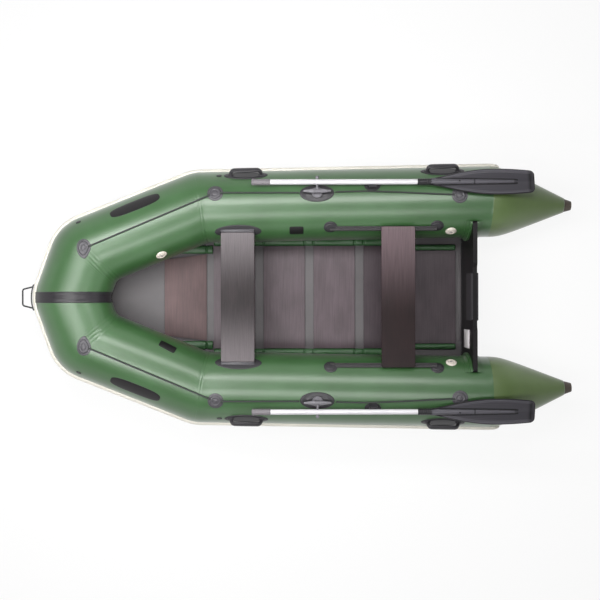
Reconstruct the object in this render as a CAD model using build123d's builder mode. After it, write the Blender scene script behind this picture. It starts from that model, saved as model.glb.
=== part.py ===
from build123d import *
import os
from math import atan2, cos, degrees, hypot, radians, sin, sqrt, tan

os.makedirs("parts", exist_ok=True)

# A three-metre-class folding tender: three air chambers round a flat fabric
# bottom, a plywood slatted floor, a transom for an outboard motor, two bench
# seats and a pair of oars.  Millimetres.  +X is the bow, +Y is port, +Z is up.
# The ground is z = 0 and the origin lies under the middle of the boat.

# ---------------------------------------------------------------- buoyancy
tube_radius = 205.0          # inflated radius of every air chamber
fabric_gap = 0.3             # running clearance between a curved face and what lies on it
bow_corner_x = 574.0         # where each side chamber meets the bow chamber
bow_corner_y = 521.0         # half distance between chamber axes at that corner
shoulder_x = 1212.0          # second corner of the bow
shoulder_y = 254.0
nose_x = 1300.0              # chamber axis on the centreline
stern_x = -1090.0            # where the side chamber ends and its cone begins
stern_y = 552.0
bow_rise_angle = 8.0         # the bow chamber lies in a plane tilted up by this
cone_length = 441.0
cone_toe_in = 2.9            # the cones point inwards by this many degrees
cone_tip_radius = 38.0
cone_shoulder_length = 60.0  # straight stretch before the shoulder's corner
cone_shoulder_radius = 300.0
cap_length = 44.0
cap_wall = 1.5               # how much the cap stands out round the cone's tip
cap_end_radius = 26.0

# ------------------------------------------------------------- rub strake
strake_height = 45.0
strake_depth = 18.0
strake_overrun = 60.0        # past the stern end of the side chamber

# ------------------------------------------------------- bottom and floor
bottom_thickness = 3.0
mat_thickness = 2.0
mat_margin = 70.0            # the mat stops this far inside the chambers' axes
panel_thickness = 10.0
panel_edge_chamfer = 1.0
floor_front_x = 808.0
first_gap = 42.0             # between the bow panel and the next
panel_gap = 53.0
panel_length = 247.0
panel_half_width = 307.0
first_panel_length = 250.0
first_panel_front_half_width = 225.0
first_panel_rear_half_width = 259.0
last_panel_length = 252.0
last_panel_half_width = 279.0
full_panels = 4              # full-width panels between the bow panel and the stern panel
sleeve_width = 46.0
last_sleeve_width = 34.0
sleeve_height = 24.0
sleeve_gap = 2.0

# --------------------------------------------------------------- transom
transom_x = -973.0           # inner face where it meets the bottom
transom_lean = 0.5           # leans aft
transom_thickness = 25.0
transom_height = 392.0
transom_top_half_width = 428.0
transom_corner_radius = 16.0
motor_notch_depth = 11.0
motor_notch_half_width = 190.0
motor_pad_width = 270.0
motor_pad_height = 170.0
motor_pad_thickness = 7.0
motor_pad_drop = 2.0         # below the notch
motor_pad_corner_radius = 12.0
holder_thickness = 4.0
holder_rib_height = 20.0
holder_rib_width = 12.0
holder_rib_inset = 4.0       # the ribs stop this far short of the holder's ends
holder_length = 96.0
holder_aft_share = 0.64      # of the holder's length lies aft of the board's inner face
holder_wrap = 0.86           # of the chamber's height
plug_radius = 24.0
plug_y = 264.0
plug_height = 72.0           # up the board
plug_flange = 4.0
plug_nut = 10.0

# ----------------------------------------------------------------- seats
seat_width = 190.0
seat_thickness = 12.0
front_seat_x = 351.5         # middle of the fixed bench
front_seat_half_length = 366.0
rear_seat_x = -557.5         # middle of the sliding bench at rest
rear_seat_half_length = 398.0
rear_seat_forward = 245.0    # travel from rest
rear_seat_aft = 80.0
seat_corner_radius = 10.0
seat_edge_chamfer = 1.5
seat_clearance = 1.0         # under each bench
bracket_depth = 36.0
bracket_lip = 20.0           # width of the upstand at the bench's end
bracket_lip_rise = 2.0       # above the bench
bracket_pad_length = 266.0
bracket_pad_width = 96.0
bracket_pad_thickness = 3.0
rail_y = 388.0
rail_width = 26.0
rail_height = 16.0
rail_overrun = 44.5          # past the bench's travel at each end
rail_end_radius = 39.0
slider_height = 8.0
slider_width = 34.0

# -------------------------------------------------------- rowlocks and oars
hub_x = -99.0                # rowlock station along the hull
hub_lean = 14.0              # degrees outboard of the top of the chamber
hub_height = 35.0            # axle above the chamber
pin_reach = 52.0             # axle to the middle of the oar's shaft
pin_tilt = 5.0               # the pin's rise from axle to shaft at rest
pad_length = 194.0
pad_width = 100.0
pad_thickness = 6.0
plinth_rise = 2.0            # of the turntable's seat above the pad
plinth_margin = 4.0          # of that seat round the turntable
turntable_radius = 30.0
turntable_thickness = 6.0
turntable_gap = 0.5
axle_radius = 5.0
boss_gap = 32.0              # between the two bosses' flat faces
boss_length = 60.0
boss_radius = 15.0
boss_tip_radius = 5.0
cheek_thickness = 12.0       # of the two uprights that carry the axle
pin_barrel_wall = 6.0
pin_radius = 6.0
pin_knob_radius = 10.0
pin_barrel_gap = 1.0
axle_clearance = 0.25
pin_overrun = 12.0           # of the pin past the oar's shaft
shaft_radius = 15.0
grip_radius = 18.0
sleeve_radius = 18.5
oar_fit = 0.25               # clearance of the pin in the oar's shaft
shaft_front = 263.0          # distances along the oar from the pin, forward positive
grip_front = 369.0
sleeve_start = -564.0
blade_neck = -634.0
blade_end = -1216.0
blade_width = 155.0
blade_thickness = 5.0
blade_rim_width = 7.0
blade_rim_height = 2.5       # above and below the blade
blade_rib_height = 9.0
blade_corner_radius = 26.0
blade_rib_share = 0.8        # of the blade's length
clip_x = -412.0
clip_length = 46.0
clip_wall = 9.0
clip_floor = 41.0            # from the wall to the outboard edge of the floor
clip_wall_height = 42.0
clip_base_height = 19.0
clip_shaft_gap = 5.8
clip_pad_length = 93.0
clip_pad_width = 66.0

# ------------------------------------------------------------ small fittings
handle_front_x = 310.0
handle_aft_x = -818.0
handle_lean = 55.5
handle_length = 250.0
handle_pad_width = 84.0
handle_grip_length = 198.0
handle_grip_radius = 11.0
handle_finger_gap = 18.0
handle_pad_thickness = 4.0
handle_post_slope = 22.0     # each post leans this much towards the grip's middle
handle_bend_radius = 20.0
rope_radius = 3.75
rope_fit = 0.3               # round the rope in its holders
rope_pad_gap = 3.0           # between the rope's end and the rowlock's pad
rope_lift = 1.0              # the rope lies this far off the fabric
holder_disc_radius = 45.0
holder_dome_radius = 33.0
holder_dome_height = 10.0
holder_disc_thickness = 2.5
holder_dome_taper = 12.0
# The rope lies along stations of the hull, each with its lean outboard of the top.
cheek_rope_route = [(1191.0, 8.0), (930.0, 7.0), (680.0, 6.5)]
side_rope_route = [(473.0, 17.4), (240.0, 16.2)]
rope_hub_lean = 14.6
aft_rope_route = [(-370.0, 15.2), (-560.0, 12.4), (-730.0, 9.0), (-900.0, 6.2)]
valve_radius = 31.0
valve_height = 7.0
valve_aft_x = -861.0
valve_lean = -58.0
valve_bow_x = 864.0
band_width = 62.0
band_thickness = 3.0
band_outer_angle = 82.0      # degrees forward of the top of the chamber
band_inner_angle = -84.0
eye_rod_radius = 4.5
eye_reach = 54.8             # beyond the strake
eye_half_width = 62.0
eye_front_half_width = 46.0
eye_corner_radius = 14.0
eye_base_thickness = 5.0
eye_base_margin = 12.0       # of the base beyond the rod on each side
eye_root = 12.0              # of the rod inside its base


# ----------------------------------------------------- frames of reference
axis_height = tube_radius + bottom_thickness + fabric_gap
side_toe = degrees(atan2(stern_y - bow_corner_y, bow_corner_x - stern_x))
side_length = hypot(stern_y - bow_corner_y, bow_corner_x - stern_x)
rise = radians(bow_rise_angle)
up = Vector(0, 0, 1)
bow_along = Vector(cos(rise), 0, sin(rise))
bow_normal = Vector(-sin(rise), 0, cos(rise))
side_forward = Vector(cos(radians(side_toe)), -sin(radians(side_toe)), 0)
side_outboard = Vector(sin(radians(side_toe)), cos(radians(side_toe)), 0)


def on_bow(x, y):
    """The point of the tilted bow plane whose plan position is x, y."""
    return Vector(x, y, axis_height + (x - bow_corner_x) * tan(rise))


corner = on_bow(bow_corner_x, bow_corner_y)
shoulder = on_bow(shoulder_x, shoulder_y)
nose = on_bow(nose_x, 0)
stern = Vector(stern_x, stern_y, axis_height)
cone_aft = Vector(-cos(radians(cone_toe_in)), -sin(radians(cone_toe_in)), 0)
cheek_forward = (shoulder - corner).normalized()


def side_axis(x):
    """The point of the port side chamber's axis at a plan station x."""
    y = bow_corner_y + (bow_corner_x - x) * tan(radians(side_toe))
    return Vector(x, y, axis_height)


def on_side(x, lean, lift=0.0):
    """A plane lying on the port side chamber, x forward and z straight out of it."""
    out = up * cos(radians(lean)) + side_outboard * sin(radians(lean))
    return Plane(side_axis(x) + out * (tube_radius + lift), x_dir=side_forward, z_dir=out)


def on_cheek(x, lean, lift=0.0):
    """The same on the slanting stretch of the bow chamber, between corner and shoulder."""
    outboard = bow_normal.cross(cheek_forward)
    out = bow_normal * cos(radians(lean)) + outboard * sin(radians(lean))
    share = (x - bow_corner_x) / (shoulder_x - bow_corner_x)
    middle = corner + (shoulder - corner) * share
    return Plane(middle + out * (tube_radius + lift), x_dir=cheek_forward, z_dir=out)


def across(start, towards):
    """A plane square to the line from start towards another point."""
    return Plane(start, z_dir=towards - start)


def mitre(point, before, after):
    """The plane that halves the angle between two runs of chamber, facing along them."""
    return Plane(point, z_dir=before.normalized() + after.normalized())


corner_mitre = mitre(corner, -side_forward, corner - shoulder)
stern_mitre = mitre(stern, -side_forward, cone_aft)
long_run = 4 * tube_radius


def run(start, end, radius, before=0.0, beyond=0.0, mode=Mode.ADD):
    """Add, cut or keep a round bar between two points, with optional overruns."""
    ahead = (end - start).normalized()
    with BuildSketch(Plane(start - ahead * before, z_dir=ahead)) as section:
        Circle(radius)
    extrude(section.sketch, amount=(end - start).length + before + beyond, mode=mode)


def side_bar(radius, mode):
    """Cut or keep a bar on the port side chamber's axis, longer than the chamber."""
    run(corner, stern, radius, before=long_run, beyond=long_run, mode=mode)


def cheek_bar(radius, mode):
    """Cut or keep a bar on the axis of the bow chamber's slanting stretch."""
    run(corner, shoulder, radius, before=long_run, beyond=long_run, mode=mode)


def wrap(bar, thickness):
    """Trim what is built so far to a sheet of this thickness lying on a chamber."""
    bar(tube_radius + fabric_gap + thickness, Mode.INTERSECT)
    bar(tube_radius + fabric_gap, Mode.SUBTRACT)


def oval(place, length, width):
    """Add an upright oval block through the chamber's surface, to be wrapped later."""
    with BuildSketch(place) as patch:
        Ellipse(length / 2, width / 2)
    extrude(patch.sketch, amount=tube_radius / 2, both=True)


def flank_height(x, y, radius):
    """Height of the upper side of a bar of this radius on the side chamber's axis."""
    return axis_height + sqrt(radius**2 - (side_axis(x).Y - y) ** 2)


def save(piece, label):
    """Write one finished piece under its node name."""
    piece.part.label = label
    export_step(piece.part, f"parts/{label}.step")


def save_pair(piece, label):
    """Write a port piece and its mirror image to starboard."""
    save(piece, f"{label}_port")
    with BuildPart() as twin:
        mirror(piece.part, about=Plane.XZ)
    save(twin, f"{label}_starboard")


def both_sides(piece):
    """Join a port piece and its mirror image in one part."""
    with BuildPart() as pair:
        add(piece.part)
        mirror(about=Plane.XZ)
    return pair


# ------------------------------------------------------------ air chambers
with BuildPart() as bow_half:
    run(corner, shoulder, tube_radius, before=long_run / 2)
    split(bisect_by=corner_mitre, keep=Keep.BOTTOM)
    run(shoulder, nose, tube_radius)
    with Locations(shoulder, nose):
        Sphere(tube_radius)
with BuildPart() as tube_bow:
    add(bow_half.part)
    mirror(about=Plane.XZ)
save(tube_bow, "tube_bow")

with BuildPart() as tube_side:
    run(corner, stern, tube_radius, before=long_run / 2, beyond=long_run / 2)
    split(bisect_by=corner_mitre, keep=Keep.TOP)
    split(bisect_by=stern_mitre, keep=Keep.BOTTOM)
save_pair(tube_side, "tube")

# Each cone is turned about its own axis; its first stretch is still cylindrical.
cone_plane = Plane(stern, x_dir=cone_aft, z_dir=cone_aft.cross(up))
with BuildPart() as cone:
    with BuildSketch(cone_plane):
        with BuildLine():
            Polyline(
                (-tube_radius, 0), (-tube_radius, tube_radius),
                (cone_shoulder_length, tube_radius), (cone_length, cone_tip_radius),
                (cone_length, 0), close=True)
        outline = make_face()
        fillet(outline.vertices().sort_by_distance((cone_shoulder_length, tube_radius))[0],
               cone_shoulder_radius)
    revolve(axis=Axis(stern, cone_aft))
    split(bisect_by=stern_mitre, keep=Keep.TOP)
save_pair(cone, "cone")
with BuildPart() as cone_cap:
    with BuildSketch(cone_plane):
        with BuildLine():
            Polyline(
                (cone_length + fabric_gap, 0),
                (cone_length + fabric_gap, cone_tip_radius + cap_wall),
                (cone_length + cap_length, cap_end_radius),
                (cone_length + cap_length, 0), close=True)
        make_face()
    revolve(axis=Axis(stern, cone_aft))
    mirror(about=Plane.XZ)
save(cone_cap, "cone_caps")


# ------------------------------------------------------------- rub strake
def strake_section(place):
    """The half-round strake against the chamber, x pointing outboard."""
    with BuildSketch(place) as section:
        with Locations((tube_radius + fabric_gap, 0)):
            Ellipse(strake_depth, strake_height / 2)
        Circle(tube_radius + fabric_gap, mode=Mode.SUBTRACT)
    return section.sketch


nose_forward = (nose - shoulder).normalized()
cheek_out = bow_normal.cross(cheek_forward)
nose_out = bow_normal.cross(nose_forward)
strake_run = side_length + strake_overrun
with BuildPart() as side_strake:
    extrude(strake_section(Plane(corner, x_dir=side_outboard, z_dir=-side_forward)),
            amount=strake_run)
    extrude(strake_section(Plane(corner, x_dir=side_outboard, z_dir=side_forward)),
            amount=long_run / 4)
    split(bisect_by=corner_mitre, keep=Keep.TOP)
with BuildPart() as bow_strake:
    extrude(strake_section(Plane(corner, x_dir=cheek_out, z_dir=cheek_forward)),
            amount=(shoulder - corner).length)
    extrude(strake_section(Plane(corner, x_dir=cheek_out, z_dir=-cheek_forward)),
            amount=long_run / 4)
    split(bisect_by=corner_mitre, keep=Keep.BOTTOM)
    revolve(strake_section(Plane(shoulder, x_dir=cheek_out, z_dir=cheek_forward)),
            axis=Axis(shoulder, -bow_normal),
            revolution_arc=cheek_forward.get_angle(nose_forward))
    extrude(strake_section(Plane(shoulder, x_dir=nose_out, z_dir=nose_forward)),
            amount=(nose - shoulder).length)
    revolve(strake_section(Plane(nose, x_dir=nose_out, z_dir=nose_forward)),
            axis=Axis(nose, -bow_normal), revolution_arc=nose_out.get_angle(bow_along))
with BuildPart() as rub_strake:
    add(side_strake.part)
    add(bow_strake.part)
    mirror(about=Plane.XZ)
save(rub_strake, "rub_strake")

# ------------------------------------------------------- bottom and floor
bottom_drop = tube_radius + fabric_gap + bottom_thickness
mat_drop = tube_radius + fabric_gap
floor_drop = mat_drop - mat_thickness


def under_bow(x, drop):
    """Height of a sheet lying this far below the chambers' axes, bent up at the bow."""
    flat = axis_height - drop
    sloping = axis_height + (x - bow_corner_x) * tan(rise) - drop / cos(rise)
    return max(flat, sloping)


def fold_x(drop):
    """Where such a sheet bends up."""
    return bow_corner_x + drop * tan(rise / 2)


def sheet(low, high, rear_x, margin):
    """Add a bent sheet between two depths, inside the line of the chambers' axes."""
    front_x = nose_x + long_run
    with BuildSketch(Plane.XZ) as section:
        with BuildLine():
            Polyline(
                (rear_x, under_bow(rear_x, low)), (fold_x(low), under_bow(rear_x, low)),
                (front_x, under_bow(front_x, low)), (front_x, under_bow(front_x, high)),
                (fold_x(high), under_bow(rear_x, high)), (rear_x, under_bow(rear_x, high)),
                close=True)
        make_face()
    extrude(section.sketch, amount=stern_y, both=True)
    side = side_axis(rear_x)
    with BuildSketch() as outline:
        with BuildLine():
            Polyline(
                (rear_x, side.Y), (bow_corner_x, bow_corner_y), (shoulder_x, shoulder_y),
                (nose_x, 0), (shoulder_x, -shoulder_y), (bow_corner_x, -bow_corner_y),
                (rear_x, -side.Y), close=True)
        make_face()
        if margin:
            offset(amount=-margin, kind=Kind.INTERSECTION)
    extrude(outline.sketch, amount=long_run, mode=Mode.INTERSECT)


with BuildPart() as bottom_skin:
    sheet(bottom_drop, mat_drop, transom_x, 0)
save(bottom_skin, "bottom_skin")
with BuildPart() as floor_mat:
    sheet(mat_drop, floor_drop, transom_x - mat_margin + holder_thickness, mat_margin)
save(floor_mat, "floor_mat")

floor_height = axis_height - floor_drop


def panel(place, length, front_half_width, rear_half_width, label):
    """Write one floor panel whose front edge is at the place's origin."""
    with BuildPart() as board:
        with BuildSketch(place):
            with BuildLine():
                Polyline((0, front_half_width), (0, -front_half_width),
                         (-length, -rear_half_width), (-length, rear_half_width), close=True)
            make_face()
        extrude(amount=panel_thickness)
        chamfer(board.faces().sort_by(Axis.Z)[-1].edges(), panel_edge_chamfer)
    save(board, label)


front_height = under_bow(floor_front_x, floor_drop)
first_slope = atan2(front_height - floor_height, first_panel_length)
bow_panel_place = Plane(
    (floor_front_x, 0, front_height + fabric_gap),
    x_dir=(cos(first_slope), 0, sin(first_slope)), z_dir=(-sin(first_slope), 0, cos(first_slope)))
panel(bow_panel_place, first_panel_length, first_panel_front_half_width,
      first_panel_rear_half_width, "floor_panel_1")
panel_x = floor_front_x - first_panel_length - first_gap
for number in range(2, 2 + full_panels):
    panel(Plane((panel_x, 0, floor_height)), panel_length, panel_half_width,
          panel_half_width, f"floor_panel_{number}")
    panel_x -= panel_length + panel_gap
panel(Plane((panel_x, 0, floor_height)), last_panel_length, last_panel_half_width,
      last_panel_half_width, f"floor_panel_{2 + full_panels}")


def sleeve(front_x, rear_x, inner_y, width):
    """Add a low half-round fabric sleeve along the floor's port edge."""
    with BuildSketch(Plane((front_x, inner_y + width / 2, floor_height),
                           x_dir=(0, -1, 0), z_dir=(-1, 0, 0))) as section:
        Ellipse(width / 2, sleeve_height)
        with Locations((0, -sleeve_height)):
            Rectangle(width * 2, sleeve_height * 2, mode=Mode.SUBTRACT)
    extrude(section.sketch, amount=front_x - rear_x)


full_front_x = floor_front_x - first_panel_length - first_gap
with BuildPart() as floor_sleeve:
    sleeve(full_front_x, panel_x + panel_gap, panel_half_width + sleeve_gap, sleeve_width)
    sleeve(panel_x, panel_x - last_panel_length, last_panel_half_width + sleeve_gap,
           last_sleeve_width)
save_pair(floor_sleeve, "floor_sleeve")

# --------------------------------------------------------------- transom
lean = radians(transom_lean)
transom_plane = Plane(
    (transom_x, 0, bottom_thickness + fabric_gap), x_dir=(0, -1, 0),
    z_dir=(-cos(lean), 0, -sin(lean)))
notch_height = transom_height - motor_notch_depth
with BuildPart() as transom_port_side:
    with BuildSketch(transom_plane):
        with BuildLine():
            Polyline(
                (0, 0), (-transom_top_half_width, 0),
                (-transom_top_half_width, transom_height),
                (-motor_notch_half_width, transom_height),
                (-motor_notch_half_width + 2 * motor_notch_depth, notch_height),
                (0, notch_height), close=True)
        board_face = make_face()
        fillet(board_face.vertices().sort_by_distance(
            (-transom_top_half_width, transom_height))[0], transom_corner_radius)
    extrude(amount=transom_thickness)
    side_bar(tube_radius + 2 * fabric_gap + holder_thickness, Mode.SUBTRACT)
transom_board = both_sides(transom_port_side)
save(transom_board, "transom_board")

with BuildPart() as motor_pads:
    with BuildSketch(transom_plane.offset(-motor_pad_thickness),
                     transom_plane.offset(transom_thickness)):
        with Locations((0, notch_height - motor_pad_height / 2 - motor_pad_drop)):
            RectangleRounded(motor_pad_width, motor_pad_height, motor_pad_corner_radius)
    extrude(amount=motor_pad_thickness)
save(motor_pads, "motor_pads")

holder_y = side_axis(transom_x).Y
holder_reach = transom_top_half_width - (holder_y - tube_radius)
holder_height = 2 * tube_radius * holder_wrap
with BuildPart() as holder_ribs:
    with BuildSketch(transom_plane.offset(-holder_rib_width - fabric_gap),
                     transom_plane.offset(transom_thickness + fabric_gap)):
        with Locations((-holder_y + tube_radius, axis_height)):
            Rectangle(2 * (holder_reach - holder_rib_inset), holder_height)
    extrude(amount=holder_rib_width)
    side_bar(tube_radius + fabric_gap + holder_rib_height, Mode.INTERSECT)
    side_bar(tube_radius + fabric_gap, Mode.SUBTRACT)
with BuildPart() as transom_holder:
    with BuildSketch(Plane(
            (transom_x - holder_length * holder_aft_share, holder_y - tube_radius, axis_height),
            x_dir=(0, 1, 0), z_dir=(1, 0, 0))):
        Rectangle(2 * holder_reach, holder_height)
    extrude(amount=holder_length)
    wrap(side_bar, holder_thickness)
    add(holder_ribs.part)
save_pair(transom_holder, "transom_holder")

with BuildPart() as drain_plug:
    with BuildSketch(transom_plane.offset(transom_thickness)):
        with Locations((-plug_y, plug_height)):
            Circle(plug_radius)
    extrude(amount=plug_flange)
    with BuildSketch(transom_plane.offset(transom_thickness + plug_flange)):
        with Locations((-plug_y, plug_height)):
            RegularPolygon(plug_radius * 0.6, 6)
    extrude(amount=plug_nut)
save(drain_plug, "drain_plug")


# ----------------------------------------------------------------- seats
def bench(middle_x, half_length, height, label):
    """Write a bench board lying across the boat with its underside at this height."""
    with BuildPart() as board:
        with BuildSketch(Plane((middle_x, 0, height))):
            RectangleRounded(seat_width, 2 * half_length, seat_corner_radius)
        extrude(amount=seat_thickness)
        chamfer(board.faces().filter_by(Plane.XY).edges(), seat_edge_chamfer)
    save(board, label)


def slab(x_range, y_range, z_range):
    """Add a plain block between these limits."""
    with BuildSketch(Plane.XY.offset(z_range[0])) as foot:
        with Locations(((x_range[0] + x_range[1]) / 2, (y_range[0] + y_range[1]) / 2)):
            Rectangle(x_range[1] - x_range[0], y_range[1] - y_range[0])
    extrude(foot.sketch, amount=z_range[1] - z_range[0])


front_seat_height = flank_height(
    front_seat_x + seat_width / 2, front_seat_half_length,
    tube_radius + fabric_gap + bracket_pad_thickness) + 2 * seat_clearance
bench(front_seat_x, front_seat_half_length, front_seat_height, "seat_front")
bracket_y = front_seat_half_length + seat_clearance
bracket_lean = -degrees(atan2(
    side_axis(front_seat_x).Y - front_seat_half_length, front_seat_height - axis_height))
with BuildPart() as bracket_pad:
    oval(on_side(front_seat_x, bracket_lean), bracket_pad_length, bracket_pad_width)
    wrap(side_bar, bracket_pad_thickness)
with BuildPart() as seat_bracket:
    bracket_x = (front_seat_x - seat_width / 2, front_seat_x + seat_width / 2)
    slab(bracket_x, (bracket_y - bracket_depth, bracket_y + bracket_lip),
         (axis_height, front_seat_height - fabric_gap))
    slab(bracket_x, (bracket_y, bracket_y + bracket_lip),
         (front_seat_height - fabric_gap,
          front_seat_height + seat_thickness + bracket_lip_rise))
    side_bar(tube_radius + fabric_gap + bracket_pad_thickness / 2, Mode.SUBTRACT)
    add(bracket_pad.part)
save_pair(seat_bracket, "seat_bracket")

# The sliding bench rests on two straight rails, level and parallel to the keel line.
rail_front_x = rear_seat_x + rear_seat_forward + seat_width / 2 + rail_overrun
rail_rear_x = rear_seat_x - rear_seat_aft - seat_width / 2 - rail_overrun
rail_top = flank_height(rail_front_x, rail_y + rail_width / 2, tube_radius) + rail_height / 4
with BuildPart() as rail_ends:
    for x in (rail_front_x, rail_rear_x):
        lean_here = -degrees(atan2(side_axis(x).Y - rail_y, rail_top - axis_height))
        oval(on_side(x, lean_here), 2 * rail_end_radius, 2 * rail_end_radius)
    wrap(side_bar, bracket_pad_thickness)
with BuildPart() as seat_rail:
    slab((rail_rear_x, rail_front_x), (rail_y - rail_width / 2, rail_y + rail_width / 2),
         (axis_height, rail_top))
    side_bar(tube_radius + fabric_gap, Mode.SUBTRACT)
    add(rail_ends.part)
save_pair(seat_rail, "seat_rail")

rear_seat_height = rail_top + seat_clearance
bench(rear_seat_x, rear_seat_half_length, rear_seat_height, "seat_rear")
with BuildPart() as seat_sliders:
    for x in (rear_seat_x - seat_width / 3, rear_seat_x + seat_width / 3):
        slab((x - slider_width / 2, x + slider_width / 2),
             (rail_y - rail_width / 2 - seat_clearance - slider_height,
              rail_y - rail_width / 2 - seat_clearance),
             (rear_seat_height - rail_height, rear_seat_height))
    mirror(about=Plane.XZ)
save(seat_sliders, "seat_sliders")

# -------------------------------------------------------- rowlocks and oars
# The stowed oar is parallel to the keel, so the hub's plane is turned to it and not
# to the slightly toed-in chamber.
hub_out = Vector(0, sin(radians(hub_lean)), cos(radians(hub_lean)))
hub = Plane(side_axis(hub_x) + hub_out * tube_radius, x_dir=(1, 0, 0), z_dir=hub_out)
plinth_height = pad_thickness + plinth_rise
disc_base = plinth_height + turntable_gap
disc_top = disc_base + turntable_thickness


with BuildPart() as rowlock_pad:
    oval(hub, pad_length, pad_width)
    wrap(side_bar, pad_thickness)
    with BuildSketch(hub.offset(-pad_thickness)):
        Circle(turntable_radius + plinth_margin)
    extrude(amount=pad_thickness + plinth_height)
    side_bar(tube_radius + fabric_gap, Mode.SUBTRACT)
save_pair(rowlock_pad, "rowlock_pad")

axle_plane = Plane(hub.offset(hub_height).origin, x_dir=hub.x_dir, z_dir=-hub.y_dir)
axle_axis = Axis(axle_plane.origin, hub.x_dir)
with BuildPart() as rowlock_turntable:
    with BuildSketch(hub.offset(disc_base)):
        Circle(turntable_radius)
    extrude(amount=turntable_thickness)
    with BuildSketch(hub.offset(disc_top)):
        cheek_x = (boss_gap + cheek_thickness) / 2
        with Locations((cheek_x, 0), (-cheek_x, 0)):
            Rectangle(cheek_thickness, 2 * boss_radius - pin_barrel_wall)
    extrude(amount=hub_height - disc_top)
    with BuildSketch(axle_plane):
        for side in (-1, 1):
            with BuildLine():
                Polyline((side * boss_gap / 2, 0), (side * boss_gap / 2, boss_radius),
                         (side * (boss_gap / 2 + boss_length), boss_tip_radius),
                         (side * (boss_gap / 2 + boss_length), 0), close=True)
            make_face()
        with Locations((0, axle_radius / 2)):
            Rectangle(boss_gap, axle_radius)
    revolve(axis=axle_axis)
save_pair(rowlock_turntable, "rowlock_turntable")

# The pin starts at a barrel on the axle and runs out through the oar's shaft.
tilt = radians(pin_tilt)
pin_out = hub.y_dir * cos(tilt) + hub.z_dir * sin(tilt)
oar_middle = axle_plane.origin + pin_out * pin_reach
knob_reach = pin_reach + shaft_radius + pin_overrun
oar = Plane(oar_middle, x_dir=hub.x_dir, z_dir=hub.z_dir)
oar_axis = Axis(oar_middle, hub.x_dir)
with BuildPart() as rowlock_pin:
    with BuildSketch(Plane(axle_plane.origin, z_dir=hub.x_dir)):
        Circle(axle_radius + pin_barrel_wall)
    extrude(amount=boss_gap / 2 - pin_barrel_gap, both=True)
    run(axle_plane.origin, axle_plane.origin + pin_out * knob_reach, pin_radius)
    with Locations(axle_plane.origin + pin_out * knob_reach):
        Sphere(pin_knob_radius)
    run(axle_plane.origin - hub.x_dir * boss_gap, axle_plane.origin + hub.x_dir * boss_gap,
        axle_radius + axle_clearance, mode=Mode.SUBTRACT)
save_pair(rowlock_pin, "rowlock_pin")

with BuildPart() as oar_shaft:
    run(oar_middle + hub.x_dir * sleeve_start, oar_middle + hub.x_dir * shaft_front,
        shaft_radius)
    run(axle_plane.origin, axle_plane.origin + pin_out * knob_reach, pin_radius + oar_fit,
        mode=Mode.SUBTRACT)
save_pair(oar_shaft, "oar_shaft")

with BuildPart() as oar_grip:
    run(oar_middle + hub.x_dir * shaft_front, oar_middle + hub.x_dir * grip_front, grip_radius)
    fillet(oar_grip.faces().sort_by(Axis.X)[-1].edges(), grip_radius / 2)
save_pair(oar_grip, "oar_grip")

blade_length = blade_neck - blade_end
blade_half = blade_width / 2
rib_end = blade_neck - blade_rib_share * blade_length


def blade_outline(level, inset):
    """The blade's outline at a level above its middle, drawn this far inside its edge."""
    with BuildSketch(oar.offset(level)) as outline:
        with BuildLine():
            flank = Spline(
                (blade_neck, sleeve_radius - inset),
                (blade_neck - 0.28 * blade_length, 0.68 * blade_half - inset),
                (blade_neck - 0.62 * blade_length, blade_half - inset),
                (blade_end + inset, 0.80 * blade_half - inset))
            Polyline(flank @ 1, (blade_end + inset, 0), (blade_neck, 0), flank @ 0)
        make_face()
        mirror(about=Plane.XZ)
        fillet(outline.vertices().sort_by(Axis.X)[:2], blade_corner_radius - inset)
    return outline.sketch


rim_level = -blade_thickness / 2 - blade_rim_height
rim_thickness = blade_thickness + 2 * blade_rim_height
with BuildPart() as oar_blade:
    extrude(blade_outline(rim_level, 0), amount=rim_thickness)
    extrude(blade_outline(rim_level, blade_rim_width), amount=rim_thickness, mode=Mode.SUBTRACT)
    extrude(blade_outline(-blade_thickness / 2, blade_rim_width / 2), amount=blade_thickness)
    with BuildSketch(Plane(oar_middle, x_dir=hub.x_dir, z_dir=-hub.y_dir)):
        with BuildLine():
            Polyline((sleeve_start, 0), (sleeve_start, sleeve_radius), (blade_neck, sleeve_radius),
                     (rib_end, blade_rib_height), (rib_end - blade_rib_height, 0), close=True)
        make_face()
    revolve(axis=oar_axis)
save_pair(oar_blade, "oar_blade")

# The open clip that the stowed shaft lies in: a wall inboard and a low floor.
along_oar = hub.x_dir * (clip_x - hub_x)
clip = Plane(hub.origin + along_oar, x_dir=hub.x_dir, z_dir=hub.z_dir)
shaft_offset = oar_middle + along_oar - side_axis(clip_x)
wall_y = pin_reach * cos(tilt) - shaft_radius - clip_shaft_gap
clip_root = tube_radius / 8  # the block starts this far inside the chamber, then is cut to it
with BuildPart() as clip_pad:
    oval(on_side(clip_x, degrees(atan2(shaft_offset.Y, shaft_offset.Z))),
         clip_pad_length, clip_pad_width)
    wrap(side_bar, bracket_pad_thickness)
with BuildPart() as oar_clip:
    with BuildSketch(clip.offset(-clip_root)):
        with Locations((0, wall_y + (clip_floor - clip_wall) / 2)):
            Rectangle(clip_length, clip_floor + clip_wall)
    extrude(amount=clip_root + clip_base_height)
    with BuildSketch(clip):
        with Locations((0, wall_y - clip_wall / 2)):
            Rectangle(clip_length, clip_wall)
    extrude(amount=clip_wall_height)
    side_bar(tube_radius + fabric_gap + bracket_pad_thickness / 2, Mode.SUBTRACT)
    add(clip_pad.part)
save_pair(oar_clip, "oar_clip")

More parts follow.
